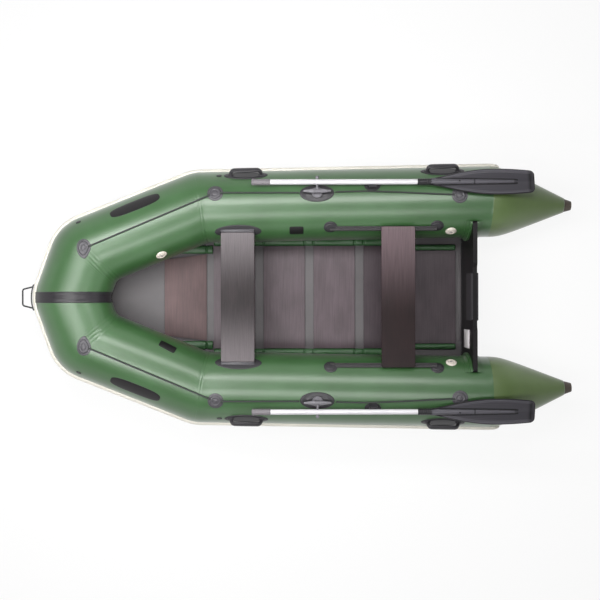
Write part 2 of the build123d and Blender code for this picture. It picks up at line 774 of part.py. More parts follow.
# ------------------------------------------------------- carrying handles
with BuildPart() as handle_half:
    for x in (handle_front_x, handle_aft_x):
        oval(on_side(x, handle_lean), handle_length, handle_pad_width)
    wrap(side_bar, handle_pad_thickness)
    grip_height = handle_pad_thickness + handle_finger_gap + handle_grip_radius
    for x in (handle_front_x, handle_aft_x):
        place = on_side(x, handle_lean)
        side_on = Plane(place.origin, x_dir=place.x_dir, z_dir=-place.y_dir)
        reach = handle_grip_length / 2
        with BuildLine(side_on) as grip_line:
            FilletPolyline((-reach, 0), (-reach + handle_post_slope, grip_height),
                           (reach - handle_post_slope, grip_height), (reach, 0),
                           radius=handle_bend_radius)
        with BuildSketch(Plane(grip_line.line @ 0, z_dir=grip_line.line % 0)):
            Circle(handle_grip_radius)
        sweep(path=grip_line.line)
    side_bar(tube_radius + fabric_gap, Mode.SUBTRACT)
handles = both_sides(handle_half)
save(handles, "carry_handles")


# --------------------------------------------------------------- lifeline
def easy_route(points):
    """Straight runs joined by arcs as large as the runs allow."""
    lengths = [(b - a).length for a, b in zip(points[:-1], points[1:])]
    turns = [(b - a).get_angle(c - b) for a, b, c in zip(points, points[1:], points[2:])]
    radii = [0.45 * min(pair) / tan(radians(turn) / 2)
             for pair, turn in zip(zip(lengths, lengths[1:]), turns)]
    return FilletPolyline(*points, radius=radii)


rope_height = rope_radius + rope_lift + fabric_gap
rope_end_reach = pad_length / 2 + rope_pad_gap
front_route = (
    [on_cheek(x, lean, rope_height).origin for x, lean in cheek_rope_route]
    + [on_side(x, lean, rope_height).origin for x, lean in side_rope_route]
    + [on_side(hub_x + rope_end_reach, rope_hub_lean, rope_height).origin])
aft_route = (
    [on_side(hub_x - rope_end_reach, rope_hub_lean, rope_height).origin]
    + [on_side(x, lean, rope_height).origin for x, lean in aft_rope_route])


def rope(points, radius, mode):
    """Add or cut a round cord along a taut route."""
    with BuildLine() as route:
        easy_route(points)
    with BuildSketch(Plane(route.line @ 0, z_dir=route.line % 0)) as section:
        Circle(radius)
    sweep(section.sketch, path=route.line, mode=mode)


with BuildPart() as lifeline:
    rope(front_route, rope_radius, Mode.ADD)
    rope(aft_route, rope_radius, Mode.ADD)
save_pair(lifeline, "lifeline")


def dome(place):
    """Add the low round boss that a rope is clamped under."""
    with BuildSketch(place.offset(-holder_dome_height)) as foot:
        Circle(holder_dome_radius)
    extrude(foot.sketch, amount=2 * holder_dome_height, taper=holder_dome_taper)


def disc(place, radius):
    """Add an upright round block through the chamber's surface, to be wrapped later."""
    oval(place, 2 * radius, 2 * radius)


bow_holder = on_cheek(*cheek_rope_route[0])
side_holders = [on_side(*side_rope_route[0]), on_side(*aft_rope_route[-1])]
with BuildPart() as bow_holder_half:
    disc(bow_holder, holder_disc_radius)
    wrap(cheek_bar, holder_disc_thickness)
    dome(bow_holder)
    cheek_bar(tube_radius + fabric_gap, Mode.SUBTRACT)
    rope(front_route, rope_radius + rope_fit, Mode.SUBTRACT)
with BuildPart() as side_holder_half:
    for place in side_holders:
        disc(place, holder_disc_radius)
    wrap(side_bar, holder_disc_thickness)
    for place in side_holders:
        dome(place)
    side_bar(tube_radius + fabric_gap, Mode.SUBTRACT)
    rope(front_route, rope_radius + rope_fit, Mode.SUBTRACT)
    rope(aft_route, rope_radius + rope_fit, Mode.SUBTRACT)
with BuildPart() as lifeline_holders:
    add(bow_holder_half.part)
    add(side_holder_half.part)
    mirror(about=Plane.XZ)
save(lifeline_holders, "lifeline_holders")

# ----------------------------------------------------------------- valves
with BuildPart() as stern_valve:
    disc(on_side(valve_aft_x, valve_lean), valve_radius)
    wrap(side_bar, valve_height)
with BuildPart() as bow_valve:
    disc(on_cheek(valve_bow_x, valve_lean), valve_radius)
    wrap(cheek_bar, valve_height)
with BuildPart() as air_valves:
    add(stern_valve.part)
    mirror(about=Plane.XZ)
    mirror(bow_valve.part, about=Plane.XZ)
save(air_valves, "air_valves")

# --------------------------------------------------------------- bow fittings
def nose_form(radius):
    """The port half of the bow's foremost stretch at this radius."""
    with BuildPart() as form:
        run(shoulder, nose, radius)
        with Locations(nose):
            Sphere(radius)
    return form.part


def band_corner(angle):
    """A point well outside the band, this many degrees forward of the chamber's top."""
    return (2 * tube_radius * sin(radians(angle)), 2 * tube_radius * cos(radians(angle)))


with BuildPart() as band_half:
    with BuildSketch(Plane(nose, x_dir=bow_along, z_dir=(0, -1, 0))):
        with BuildLine():
            outer, inner = band_corner(band_outer_angle), band_corner(band_inner_angle)
            Polyline((0, 0), outer, (outer[0], 2 * tube_radius), (inner[0], 2 * tube_radius),
                     inner, close=True)
        make_face()
    extrude(amount=-band_width / 2)
    add(nose_form(tube_radius + fabric_gap + band_thickness), mode=Mode.INTERSECT)
    add(nose_form(tube_radius + fabric_gap), mode=Mode.SUBTRACT)
bow_band = both_sides(band_half)
save(bow_band, "bow_band")

eye_plane = Plane(nose, x_dir=bow_along, z_dir=bow_normal)
eye_base_x = tube_radius + strake_depth + 2 * fabric_gap
with BuildPart() as tow_eye:
    with BuildSketch(eye_plane.offset(-strake_height / 4)):
        Circle(eye_base_x + eye_base_thickness)
        Circle(eye_base_x, mode=Mode.SUBTRACT)
        with Locations((eye_base_x, 0)):
            Rectangle(eye_base_x, 2 * (eye_half_width + eye_base_margin), mode=Mode.INTERSECT)
    extrude(amount=strake_height / 2)
    eye_x = eye_base_x + eye_reach - eye_rod_radius
    with BuildLine(eye_plane) as eye_line:
        FilletPolyline((eye_base_x - eye_root, -eye_half_width), (eye_x, -eye_front_half_width),
                       (eye_x, eye_front_half_width), (eye_base_x - eye_root, eye_half_width),
                       radius=eye_corner_radius)
    with BuildSketch(Plane(eye_line.line @ 0, z_dir=eye_line.line % 0)):
        Circle(eye_rod_radius)
    sweep(path=eye_line.line)
    with BuildSketch(eye_plane):
        Circle(eye_base_x)
    extrude(amount=strake_height, both=True, mode=Mode.SUBTRACT)
save(tow_eye, "tow_eye")
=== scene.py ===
"""An inflatable boat: fabric chambers, slatted floor, two benches, transom and stowed oars.

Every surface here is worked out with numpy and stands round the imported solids, in metres.
+X is the bow, +Y is port, +Z is up.
"""

import bpy
import numpy as np
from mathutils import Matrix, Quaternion, Vector


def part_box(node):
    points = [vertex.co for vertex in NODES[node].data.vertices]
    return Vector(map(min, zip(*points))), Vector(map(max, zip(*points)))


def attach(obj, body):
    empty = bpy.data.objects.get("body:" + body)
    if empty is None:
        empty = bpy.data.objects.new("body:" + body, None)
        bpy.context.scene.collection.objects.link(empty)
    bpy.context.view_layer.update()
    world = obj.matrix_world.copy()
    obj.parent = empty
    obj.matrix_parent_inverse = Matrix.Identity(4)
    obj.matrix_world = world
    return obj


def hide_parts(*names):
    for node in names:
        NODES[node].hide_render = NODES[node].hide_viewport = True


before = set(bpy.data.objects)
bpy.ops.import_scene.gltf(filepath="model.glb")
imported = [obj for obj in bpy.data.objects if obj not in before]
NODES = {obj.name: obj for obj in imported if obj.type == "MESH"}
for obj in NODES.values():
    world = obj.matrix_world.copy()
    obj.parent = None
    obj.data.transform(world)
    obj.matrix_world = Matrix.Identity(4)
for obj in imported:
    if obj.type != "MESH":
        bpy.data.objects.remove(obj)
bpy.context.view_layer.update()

# ---- sizes
MM = 0.001


def mm(*lengths):
    """Lengths in millimetres, in metres."""
    return tuple(length * MM for length in lengths)


tube_low, tube_high = np.array(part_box("tube_port"))
CHAMBER = (tube_high[2] - tube_low[2]) / 2  # radius of a chamber
AXIS_Z = (tube_high[2] + tube_low[2]) / 2  # height of the side chambers' axes
CORNER_X, CORNER_Y = mm(574, 521)  # where side and bow chambers meet
SHOULDER_X, SHOULDER_Y = mm(1212, 254)
NOSE_X = 1300 * MM
STERN_X, STERN_Y = mm(-1090, 552)
CONE_LENGTH, CONE_TIP = mm(441, 38)
CONE_TOE = np.radians(2.9)
RISE = np.radians(8.0)  # the bow's plane is tilted up by this
AXIS_BEND = 60 * MM  # the chambers' own axes bend this gently
LEAST_BEND = 70 * MM  # and no line along a chamber more sharply
FOLD_HALF = 60 * MM  # half the stretch over which the bow lifts
TOE = np.arctan2(STERN_Y - CORNER_Y, CORNER_X - STERN_X)


# ---- the hull's surface
def unfold(x):
    """Distance along the bow's plane from its hinge, for a plan station ahead of it."""
    return CORNER_X + (x - CORNER_X) / np.cos(RISE)


tip_x = STERN_X - CONE_LENGTH * np.cos(CONE_TOE)
tip_y = STERN_Y - CONE_LENGTH * np.sin(CONE_TOE)
port_line = [(tip_x, tip_y), (STERN_X, STERN_Y), (CORNER_X, CORNER_Y),
             (unfold(SHOULDER_X), SHOULDER_Y), (unfold(NOSE_X), 0.0)]
AXIS = np.array(port_line + [(x, -y) for x, y in port_line[-2::-1]])
STEPS = np.diff(AXIS, axis=0)
LENGTHS = np.hypot(STEPS[:, 0], STEPS[:, 1])
ALONG = STEPS / LENGTHS[:, None]
OUTWARD = np.stack([-ALONG[:, 1], ALONG[:, 0]], axis=1)
TURNS = np.arccos(np.clip((ALONG[:-1] * ALONG[1:]).sum(axis=1), -1, 1))
ALL_TURNS = np.array([0.0, *TURNS, 0.0])
CONE_PORT, SIDE_PORT, CHEEK_PORT = 0, 1, 2


def bend_radius(out):
    """A smooth greater-of the axis's bend widened by the offset, and the least bend."""
    wide = AXIS_BEND + out
    return 0.5 * (wide + LEAST_BEND + np.sqrt((wide - LEAST_BEND) ** 2 + (20 * MM) ** 2))


def hull(station, out, high):
    """Points round the hull.

    station counts straights and bends in turn: straight k fills 2k to 2k+1 and the bend after
    it 2k+1 to 2k+2.  out and high are the offsets from the chamber's axis, outboard and up.
    A straight is a line between its bends' ends; a bend is an arc about a centre inboard of
    the corner; then everything ahead of the hinge is turned up by RISE, over a short arc.
    """
    station, out, high = np.broadcast_arrays(*map(np.asarray, (station, out, high)))
    flat = np.zeros(station.shape + (2,))
    radius = bend_radius(out)
    pieces = np.clip(np.floor(station).astype(int), 0, 2 * len(LENGTHS) - 2)
    share = station - pieces

    def corner_point(index):
        if index in (0, len(LENGTHS)):
            side = OUTWARD[0] if index == 0 else OUTWARD[-1]
            return AXIS[index] + out[..., None] * side
        total = OUTWARD[index - 1] + OUTWARD[index]
        return AXIS[index] + out[..., None] * total / (1 + OUTWARD[index - 1] @ OUTWARD[index])

    for k in range(len(LENGTHS)):
        start = corner_point(k) + (radius * np.tan(ALL_TURNS[k] / 2))[..., None] * ALONG[k]
        end = corner_point(k + 1) - (radius * np.tan(ALL_TURNS[k + 1] / 2))[..., None] * ALONG[k]
        on_straight = (pieces == 2 * k)[..., None]
        flat = np.where(on_straight, start + share[..., None] * (end - start), flat)
        if k + 1 < len(LENGTHS):
            angle = -ALL_TURNS[k + 1] * share
            spoke = np.stack([np.cos(angle) * OUTWARD[k][0] - np.sin(angle) * OUTWARD[k][1],
                              np.sin(angle) * OUTWARD[k][0] + np.cos(angle) * OUTWARD[k][1]],
                             axis=-1)
            centre = end - radius[..., None] * OUTWARD[k]
            on_bend = (pieces == 2 * k + 1)[..., None]
            flat = np.where(on_bend, centre + radius[..., None] * spoke, flat)
    return lift_bow(flat[..., 0], flat[..., 1], high)


def circle(count):
    """Angles evenly round a circle, the last one short of the first."""
    return np.linspace(0, 2 * np.pi, count, endpoint=False)


def lift_bow(x, y, high):
    """Turn what lies ahead of the hinge up by RISE, over an arc FOLD_HALF each side of it."""
    ahead = x - CORNER_X
    angle = RISE * np.clip((ahead + FOLD_HALF) / (2 * FOLD_HALF), 0, 1)
    arc = 2 * FOLD_HALF / RISE
    past = np.clip(ahead - FOLD_HALF, 0, None)
    before = np.clip(ahead + FOLD_HALF, None, 0)
    along = before - FOLD_HALF + arc * np.sin(angle) + past * np.cos(RISE)
    up = arc * (1 - np.cos(angle)) + past * np.sin(RISE)
    return np.stack([CORNER_X + along - high * np.sin(angle), y,
                     AXIS_Z + up + high * np.cos(angle)], axis=-1)


def axis_stations():
    """Axis length up to each whole station, so that a length can be turned to a station."""
    marks, total = [0.0], 0.0
    trims = AXIS_BEND * np.tan(ALL_TURNS / 2)
    for k, length in enumerate(LENGTHS):
        total += length - trims[k] - trims[k + 1]
        marks.append(total)
        if k + 1 < len(LENGTHS):
            total += AXIS_BEND * TURNS[k]
            marks.append(total)
    return np.array(marks)


MARKS = axis_stations()


def side_axis_y(x):
    """How far out the side chamber's axis runs at a plan station."""
    return CORNER_Y + (CORNER_X - x) * np.tan(TOE)


def station_at(length):
    """The station at a distance along the chambers' axes."""
    return np.interp(length, MARKS, np.arange(len(MARKS)))


def axis_length(station):
    """The distance along the chambers' axes at a station."""
    return np.interp(station, np.arange(len(MARKS)), MARKS)


def on_skin(station, theta, height):
    """Points this high above the chambers, at a station and a lean outboard."""
    size = CHAMBER + height
    return hull(station, size * np.sin(theta), size * np.cos(theta))


def length_at(segment, x):
    """Distance along the axes of a plan station x on a straight of the hull."""
    flat_x = unfold(x) if x > CORNER_X else x
    share = (flat_x - AXIS[segment][0]) / (AXIS[segment + 1][0] - AXIS[segment][0])
    return MARKS[2 * segment] + (share * LENGTHS[segment]
                                 - AXIS_BEND * np.tan(ALL_TURNS[segment] / 2))


def station_beside(segment, length, out):
    """The station beside a place on a straight, for a line this far outboard of the axis.

    Inside a bend the lines are trimmed by more than the axis is, so the straight's stations
    lie closer together there.  Past an end the length runs on round the bend, and past the
    bend along the next straight.
    """
    radius = bend_radius(out)
    turns = ALL_TURNS[segment:segment + 2]
    trims = (radius - AXIS_BEND - out) * np.tan(turns / 2)[:, None, None]
    start, end = MARKS[2 * segment] + trims[0], MARKS[2 * segment + 1] - trims[1]
    station = 2 * segment + np.clip((length - start) / (end - start), 0, 1)
    for way, beyond, turn in ((1, length - end, turns[1]), (-1, start - length, turns[0])):
        bend = radius * max(turn, 1e-3)
        beyond = np.clip(beyond, 0, None)
        station = station + way * (np.clip(beyond / bend, 0, 1)
                                   + np.clip(beyond - bend, 0, None) / LENGTHS.min())
    return station


# ---- mesh making
def linked(name, data):
    """A new object in the scene."""
    made = bpy.data.objects.new(name, data)
    bpy.context.scene.collection.objects.link(made)
    return made


def mesh_from(name, points, quads, shade=None):
    """A smooth piece from arrays of points and quads, welded where points coincide.

    shade is an optional number for each point, kept as the attribute "shade".
    """
    keys = np.round(points / 1e-6).astype(np.int64)
    _, first, back = np.unique(keys, axis=0, return_index=True, return_inverse=True)
    faces = back.reshape(-1)[quads]
    rolled = np.roll(faces, 1, axis=1)
    loops = [tuple(face[keep]) for face, keep in zip(faces, faces != rolled)]
    loops = [loop for loop in loops if len(set(loop)) == len(loop) > 2]
    mesh = bpy.data.meshes.new(name)
    mesh.from_pydata(points[first].tolist(), [], loops)
    mesh.polygons.foreach_set("use_smooth", np.ones(len(mesh.polygons), dtype=bool))
    if shade is not None:
        mesh.attributes.new("shade", "FLOAT", "POINT").data.foreach_set("value", shade[first])
    mesh.update()
    return linked(name, mesh)


def join_grids(name, grids, wrapped=True, shades=None):
    """One piece from grids of points, rows down and columns along; wrapped joins the last
    column to the first.  shades may hold one grid of numbers for each grid of points."""
    quads, start = [], 0
    for grid in grids:
        rows, columns = grid.shape[:2]
        index = np.arange(rows * columns).reshape(rows, columns) + start
        if wrapped:
            index = np.concatenate([index, index[:, :1]], axis=1)
        quads.append(np.stack([index[:-1, :-1], index[1:, :-1], index[1:, 1:], index[:-1, 1:]],
                              axis=-1).reshape(-1, 4))
        start += rows * columns
    shade = None if shades is None else np.concatenate([row.reshape(-1) for row in shades])
    return mesh_from(name, np.concatenate([grid.reshape(-1, 3) for grid in grids]),
                     np.concatenate(quads), shade)


def flipped(grid):
    """The same grid seen from its other side."""
    return grid[:, ::-1]


def capped(grid):
    """The same wrapped grid with each open end closed to its middle."""
    ends = [np.repeat(grid[i].mean(axis=0)[None, None], grid.shape[1], axis=1) for i in (0, -1)]
    return np.concatenate([ends[0], grid, ends[1]])


def mirrored(grid):
    """The starboard twin of a port grid, still facing outwards."""
    return flipped(grid * np.array([1, -1, 1]))


# ---- materials
def colour(hex_code):
    """An sRGB hex colour as linear RGBA."""
    values = np.array([int(hex_code[i:i + 2], 16) for i in (1, 3, 5)]) / 255
    linear = np.where(values <= 0.04045, values / 12.92, ((values + 0.055) / 1.055) ** 2.4)
    return (*linear.tolist(), 1.0)


def node(tree, kind, settings=(), **inputs):
    """Add a node; settings are its attributes and inputs are values or sockets to link."""
    made = tree.nodes.new(kind)
    for key, value in dict(settings).items():
        setattr(made, key, value)
    return feed(tree, made, **inputs)


def feed(tree, made, **inputs):
    """Set a node's inputs to values, or link them to sockets; i2 is the input numbered 2."""
    for key, value in inputs.items():
        place = int(key[1:]) if key[0] == "i" and key[1:].isdigit() else key.replace("_", " ")
        socket = made.inputs[place]
        if isinstance(value, bpy.types.NodeSocket):
            tree.links.new(value, socket)
        else:
            socket.default_value = value
    return made


def blank_material(name):
    """A new material with a Principled shader, its tree and its object coordinates."""
    made = bpy.data.materials.new(name)
    made.use_nodes = True
    tree = made.node_tree
    shader = tree.nodes["Principled BSDF"]
    place = node(tree, "ShaderNodeTexCoord").outputs["Object"]
    return made, tree, shader, place


def noise(tree, place, size, stretch=(1, 1, 1), detail=3.0):
    """A noise whose features measure about size metres, drawn out by stretch."""
    scaled = node(tree, "ShaderNodeMapping", Vector=place,
                  Scale=tuple(1 / (size * s) for s in stretch)).outputs[0]
    return node(tree, "ShaderNodeTexNoise", Vector=scaled, Scale=1.0,
                Detail=detail).outputs["Fac"]


def blended(tree, factor, low, high, dark, light):
    """A colour that goes from dark to light as factor goes from low to high."""
    ramp = node(tree, "ShaderNodeValToRGB", Fac=factor)
    ramp.color_ramp.elements[0].position, ramp.color_ramp.elements[1].position = low, high
    ramp.color_ramp.elements[0].color, ramp.color_ramp.elements[1].color = dark, light
    return ramp.outputs[0]


def set_bump(tree, shader, layers):
    """Chain bumps, each (height socket, depth in metres, strength)."""
    last = None
    for height, depth, strength in layers:
        under = {"Normal": last} if last else {}
        last = node(tree, "ShaderNodeBump", Height=height, Distance=depth, Strength=strength,
                    **under).outputs[0]
    feed(tree, shader, Normal=last)


def coated_fabric(name, dark, light, rough, coat=1.0, weave=2.5 * MM, spread=0.25):
    """Calendered PVC on a polyester cloth: a soft broad gloss with the cloth faintly showing.

    The real threads are 0.8 mm apart; they are drawn coarser so that they show.
    """
    made, tree, shader, place = blank_material(name)
    tone = noise(tree, place, spread)
    film = blended(tree, tone, 0.35, 0.65, colour(dark), colour(light))
    gloss = noise(tree, place, spread / 3, detail=4.0)
    gloss = node(tree, "ShaderNodeMapRange", i0=gloss, i1=0.3, i2=0.7, i3=rough - 0.03,
                 i4=rough + 0.03).outputs[0]
    threads = node(tree, "ShaderNodeTexVoronoi", Vector=place, Scale=1 / weave).outputs[0]
    dents = noise(tree, place, 60 * MM, detail=2.0)
    set_bump(tree, shader, [(dents, 1.2 * MM, 0.25), (threads, 0.05 * MM, 0.35)])
    feed(tree, shader, Base_Color=film, Roughness=gloss, Specular_IOR_Level=0.3,
         Coat_Weight=coat, Coat_Roughness=rough - 0.04)
    return made


def moulded(name, dark, light, rough, grain=3 * MM, depth=0.1 * MM, shade=None):
    """Moulded rubber or plastic: one deep tone, a fine dull grain and soft lights.

    With shade, the named attribute sets the tone: painted shade in creases, painted highlight on
    ridges.
    """
    made, tree, shader, place = blank_material(name)
    speck = noise(tree, place, grain, detail=5.0)
    tone, low, high = speck, 0.3, 0.75
    if shade:
        tone = node(tree, "ShaderNodeAttribute", {"attribute_name": shade}).outputs["Fac"]
        low, high = 0.0, 1.0
    feed(tree, shader, Base_Color=blended(tree, tone, low, high, colour(dark), colour(light)),
         Roughness=rough, Specular_IOR_Level=0.35)
    set_bump(tree, shader, [(speck, depth, 0.4)])
    return made


def laminated_wood(name, dark, light, rough, grain=4 * MM, paler=None, shine=0.3):
    """Film-faced or varnished birch plywood: long grain along Y under an even film.

    paler is (colour, y where it starts, y where it is full, both ends alike or not): the film's
    colour goes paler that way.  It stands in for a broad sheen that soft light doesn't give.
    """
    made, tree, shader, place = blank_material(name)
    streak = noise(tree, place, grain, stretch=(1, 40, 1), detail=6.0)
    cloud = noise(tree, place, 90 * MM, stretch=(1, 2, 1))
    both = node(tree, "ShaderNodeMath", {"operation": "ADD"}, i0=streak, i1=cloud).outputs[0]
    half = node(tree, "ShaderNodeMath", {"operation": "MULTIPLY"}, i0=both, i1=0.5).outputs[0]
    film = blended(tree, half, 0.36, 0.64, colour(dark), colour(light))
    if paler:
        pale, start, full, both_ends = paler
        y = node(tree, "ShaderNodeSeparateXYZ", Vector=place).outputs["Y"]
        if both_ends:
            y = node(tree, "ShaderNodeMath", {"operation": "ABSOLUTE"}, i0=y).outputs[0]
        share = node(tree, "ShaderNodeMapRange", {"interpolation_type": "SMOOTHSTEP"}, i0=y,
                     i1=start, i2=full).outputs[0]
        # The painted sheen is streaked along the grain.
        brushed = node(tree, "ShaderNodeMapRange", i0=streak, i1=0.3, i2=0.7, i3=0.65,
                       i4=1.0).outputs[0]
        share = node(tree, "ShaderNodeMath", {"operation": "MULTIPLY"}, i0=share,
                     i1=brushed).outputs[0]
        film = node(tree, "ShaderNodeMix", {"data_type": "RGBA"}, i0=share, i6=film,
                    i7=colour(pale)).outputs[2]
    feed(tree, shader, Base_Color=film, Roughness=rough, Specular_IOR_Level=shine)
    set_bump(tree, shader, [(streak, 0.15 * MM, 0.3)])
    return made


def anodised(name, tint, rough):
    """Anodised aluminium tube, brushed along its length: pale, with a long soft light.

    It is only a little metallic, because a bare metal mirrors the room and comes out grey.
    """
    made, tree, shader, place = blank_material(name)
    brushed = noise(tree, place, 1.5 * MM, stretch=(60, 1, 1), detail=4.0)
    gloss = node(tree, "ShaderNodeMapRange", i0=brushed, i3=rough - 0.06,
                 i4=rough + 0.06).outputs[0]
    feed(tree, shader, Base_Color=colour(tint), Metallic=0.15, Roughness=gloss)
    set_bump(tree, shader, [(brushed, 0.04 * MM, 0.3)])
    return made


GREEN = coated_fabric("green calendered pvc", "#33572f", "#3b6038", 0.36)
SLEEVE_GREEN = coated_fabric("green welded pvc sleeve", "#2f5430", "#386039", 0.5, coat=0.3)
OLIVE = coated_fabric("green calendered pvc on the cones", "#4a5f2e", "#536a37", 0.44)
CREAM = coated_fabric("cream extruded pvc strake", "#e4e0d4", "#ebe7dc", 0.5)
GREY_FLOOR = coated_fabric("grey pvc floor fabric", "#4e4a4c", "#585456", 0.55, coat=0.2)
UNDERSIDE = coated_fabric("dark grey pvc bottom", "#3c4240", "#444a48", 0.5, coat=0.4)
RUBBER = moulded("black moulded rubber", "#2b2a2d", "#3a383c", 0.36)
GREY_RUBBER = moulded("grey moulded rubber", "#434145", "#545257", 0.36)
RAIL = moulded("dark grey extruded pvc rail", "#2f2d2f", "#3b393b", 0.36)
GLOSS_BLACK = moulded("black glossy pvc patch", "#161416", "#1e1c1e", 0.28)
GRIP = moulded("grey ribbed rubber grip", "#6a666a", "#7c777b", 0.5)
SHINY_RUBBER = moulded("smooth black extruded pvc", "#262427", "#302e32", 0.3)
# The blade's dark and light tones carry its painted shade and painted highlights.
BLADE = moulded("black moulded polypropylene", "#141316", "#55535a", 0.34, shade="shade")
GREY_PLASTIC = moulded("grey moulded nylon", "#6a686d", "#7c7a80", 0.36)
WHITE_PLASTIC = moulded("off-white moulded polyamide", "#d2c8bd", "#ded6cc", 0.45)
CAP = moulded("brown-grey moulded cone cap", "#4a423c", "#5a524a", 0.5)
ROPE = moulded("black braided polyester", "#262a28", "#3a3f3c", 0.75, grain=2 * MM,
               depth=0.4 * MM)
LABEL = moulded("blank white label film", "#d8d2d4", "#e2dcde", 0.5)
PANEL = laminated_wood("film-faced birch plywood", "#483c41", "#5b4e54", 0.4)
# A darker copy of the same plywood on the two aft panels: painted shade towards the stern.
PANEL_SHADED_AFT = laminated_wood("film-faced birch plywood, painted shade aft", "#352b30", "#463a40", 0.4)
PANEL_BOW = laminated_wood("film-faced birch plywood on the bow", "#4f3c3d", "#604a4a", 0.5)
TRANSOM = laminated_wood("black painted marine plywood", "#0c0a0c", "#141214", 0.4, shine=0.2)
# Its film is painted paler towards both ends: a painted sheen.
BENCH = laminated_wood("grey-brown film-faced bench", "#191315", "#2c2426", 0.38,
                       grain=2.5 * MM, paler=("#6c6568", 0.02, 0.42, True), shine=0.22)
# Its film is painted paler towards starboard: a painted sheen.
MAHOGANY = laminated_wood("varnished mahogany-faced bench", "#160709", "#200e10", 0.42,
                          paler=("#6a585d", 0.12, -0.46, False), shine=0.2)
ALLOY = anodised("white anodised aluminium", "#d3d1d5", 0.35)
STEEL = moulded("dark coated steel rod", "#19191b", "#242426", 0.5)


def dress(piece, material):
    """Give a piece one material."""
    piece.data.materials.clear()
    piece.data.materials.append(material)
    for face in piece.data.polygons:
        face.material_index = 0


def place_piece(piece, material, body="root", slot="rubber_black", instead_of=()):
    """Finish a new piece: its material, the body it rides on and what it hides; slot is not used.
    """
    dress(piece, material)
    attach(piece, body)
    if instead_of:
        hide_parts(*instead_of)
    return piece


# ---- chambers and cones
ROUND = 144  # points round a chamber
PUCKER_DEPTHS = (0.4, 0.9, 0.5, 0.2, 0.5, 0.9, 0.4)  # mm, at each bend from port to starboard


def puckers(length, theta, middle, spread, pitch, depth, side):
    """Ridges across a chamber near a seam, strongest where theta faces side."""
    near = np.exp(-((length - middle) / spread) ** 2)
    facing = 0.5 + 0.5 * np.cos(theta - side)
    phase = 2 * np.pi * (length - middle) / pitch + 2.0 * np.sin(3 * theta)
    return depth * near * facing ** 2 * np.cos(phase)


def chamber_lift(length, theta):
    """Small departures of the inflated fabric from a true round."""
    slow = 0.6 * MM * np.sin(5.3 * length + 2 * theta) * np.sin(2.1 * length - theta)
    for corner, mark in enumerate(MARKS[1::2][:len(TURNS)]):
        middle = mark + AXIS_BEND * TURNS[corner] / 2
        depth = PUCKER_DEPTHS[corner] * MM
        slow = slow + puckers(length, theta, middle, 55 * MM, 17 * MM, depth, 0.8 * np.pi)
    return slow - 0.6 * MM


def chamber(name, start, end, rows, radius=None):
    """A stretch of the hull between two stations, as a closed round skin."""
    stations = np.linspace(start, end, rows)[:, None]
    length = axis_length(stations)
    theta = circle(ROUND)[None, :]
    size = CHAMBER if radius is None else radius(length)
    size = size + chamber_lift(length, theta)
    points = hull(stations, size * np.cos(theta), size * np.sin(theta))
    return join_grids(name, [flipped(capped(points))])


BEND = {"stern": 1.5, "corner": 3.5, "shoulder": 5.5, "nose": 7.5,
        "corner_star": 11.5, "stern_star": 13.5}


def cone_radius(length):
    """Chamber radius at the stern, a round shoulder, then a straight taper to the cap."""
    back = np.clip(MARKS[1] - length, 0, None) if np.mean(length) < MARKS[8] \
        else np.clip(length - MARKS[-2], 0, None)
    shoulder = 60 * MM
    slope = (CHAMBER - CONE_TIP) / (CONE_LENGTH - shoulder)
    bend = 60 * MM
    soft = 0.5 * (back - shoulder + np.sqrt((back - shoulder) ** 2 + bend ** 2))
    start = 0.5 * (-shoulder + np.sqrt(shoulder ** 2 + bend ** 2))
    return CHAMBER - slope * (soft - start)


skins = [
    ("skin_port", BEND["stern"], BEND["corner"], 220, None, "tube_port", GREEN),
    ("skin_bow", BEND["corner"], BEND["corner_star"], 420, None, "tube_bow", GREEN),
    ("skin_starboard", BEND["corner_star"], BEND["stern_star"], 220, None, "tube_starboard",
     GREEN),
    ("cone_skin_port", 0.0, BEND["stern"], 90, cone_radius, "cone_port", OLIVE),
    ("cone_skin_starboard", BEND["stern_star"], 15.0, 90, cone_radius, "cone_starboard", OLIVE),
]
for name, start, end, rows, radius, node_name, cloth in skins:
    piece = chamber(name, start, end, rows, radius)
    place_piece(piece, cloth, slot="pvc_green", instead_of=[node_name])


# ---- forms laid on the chambers
def relief(spot, half, profile, power=2.0, turn=0.0, columns=96):
    """A closed low form laid on a chamber, as a grid of rings about its middle.

    spot is (segment, plan station, lean in degrees); half its half length and half width.
    profile lists (share of the outline's reach, height above the chamber) from the middle
    outwards and back beneath.  The outline is a superellipse of this power, turned in the
    surface by turn.  Past the end of a straight, lengths are kept true on the bend.
    """
    segment, x, lean = spot
    share, height = (np.array(row)[:, None] for row in zip(*profile))
    angle = circle(columns)[None, :]
    cos, sin = np.cos(angle), np.sin(angle)
    ring_x = half[0] * np.sign(cos) * np.abs(cos) ** (2 / power)
    ring_y = half[1] * np.sign(sin) * np.abs(sin) ** (2 / power)
    along = share * (ring_x * np.cos(turn) - ring_y * np.sin(turn))
    round_it = share * (ring_x * np.sin(turn) + ring_y * np.cos(turn))
    theta = np.radians(lean) + round_it / CHAMBER
    size = CHAMBER + height
    out = size * np.sin(theta)
    return hull(station_beside(segment, length_at(segment, x) + along, out), out,
                size * np.cos(theta))


FOOT = -2 * MM  # what lies on a chamber starts below its skin


def heights(*pairs):
    """A profile from (share, height in millimetres) pairs, taken down to its foot."""
    return [(share, height * MM) for share, height in pairs] + [(1, FOOT), (0, FOOT)]


def rounded(height, edge, share_edge=0.94):
    """A profile with a level top, a rounded shoulder and an upright edge, in millimetres."""
    height, edge = mm(height, edge)
    return [(0, height), (0.5, height), (share_edge, height), (0.97, height - 0.25 * edge),
            (0.99, height - 0.6 * edge), (1, height - edge), (1, FOOT), (0, FOOT)]


def sides(name, grids, material, both=True, **finish):
    """A piece from port grids, with their starboard twins unless told otherwise."""
    everything = list(grids) + ([mirrored(grid) for grid in grids] if both else [])
    return place_piece(join_grids(name, everything), material, **finish)


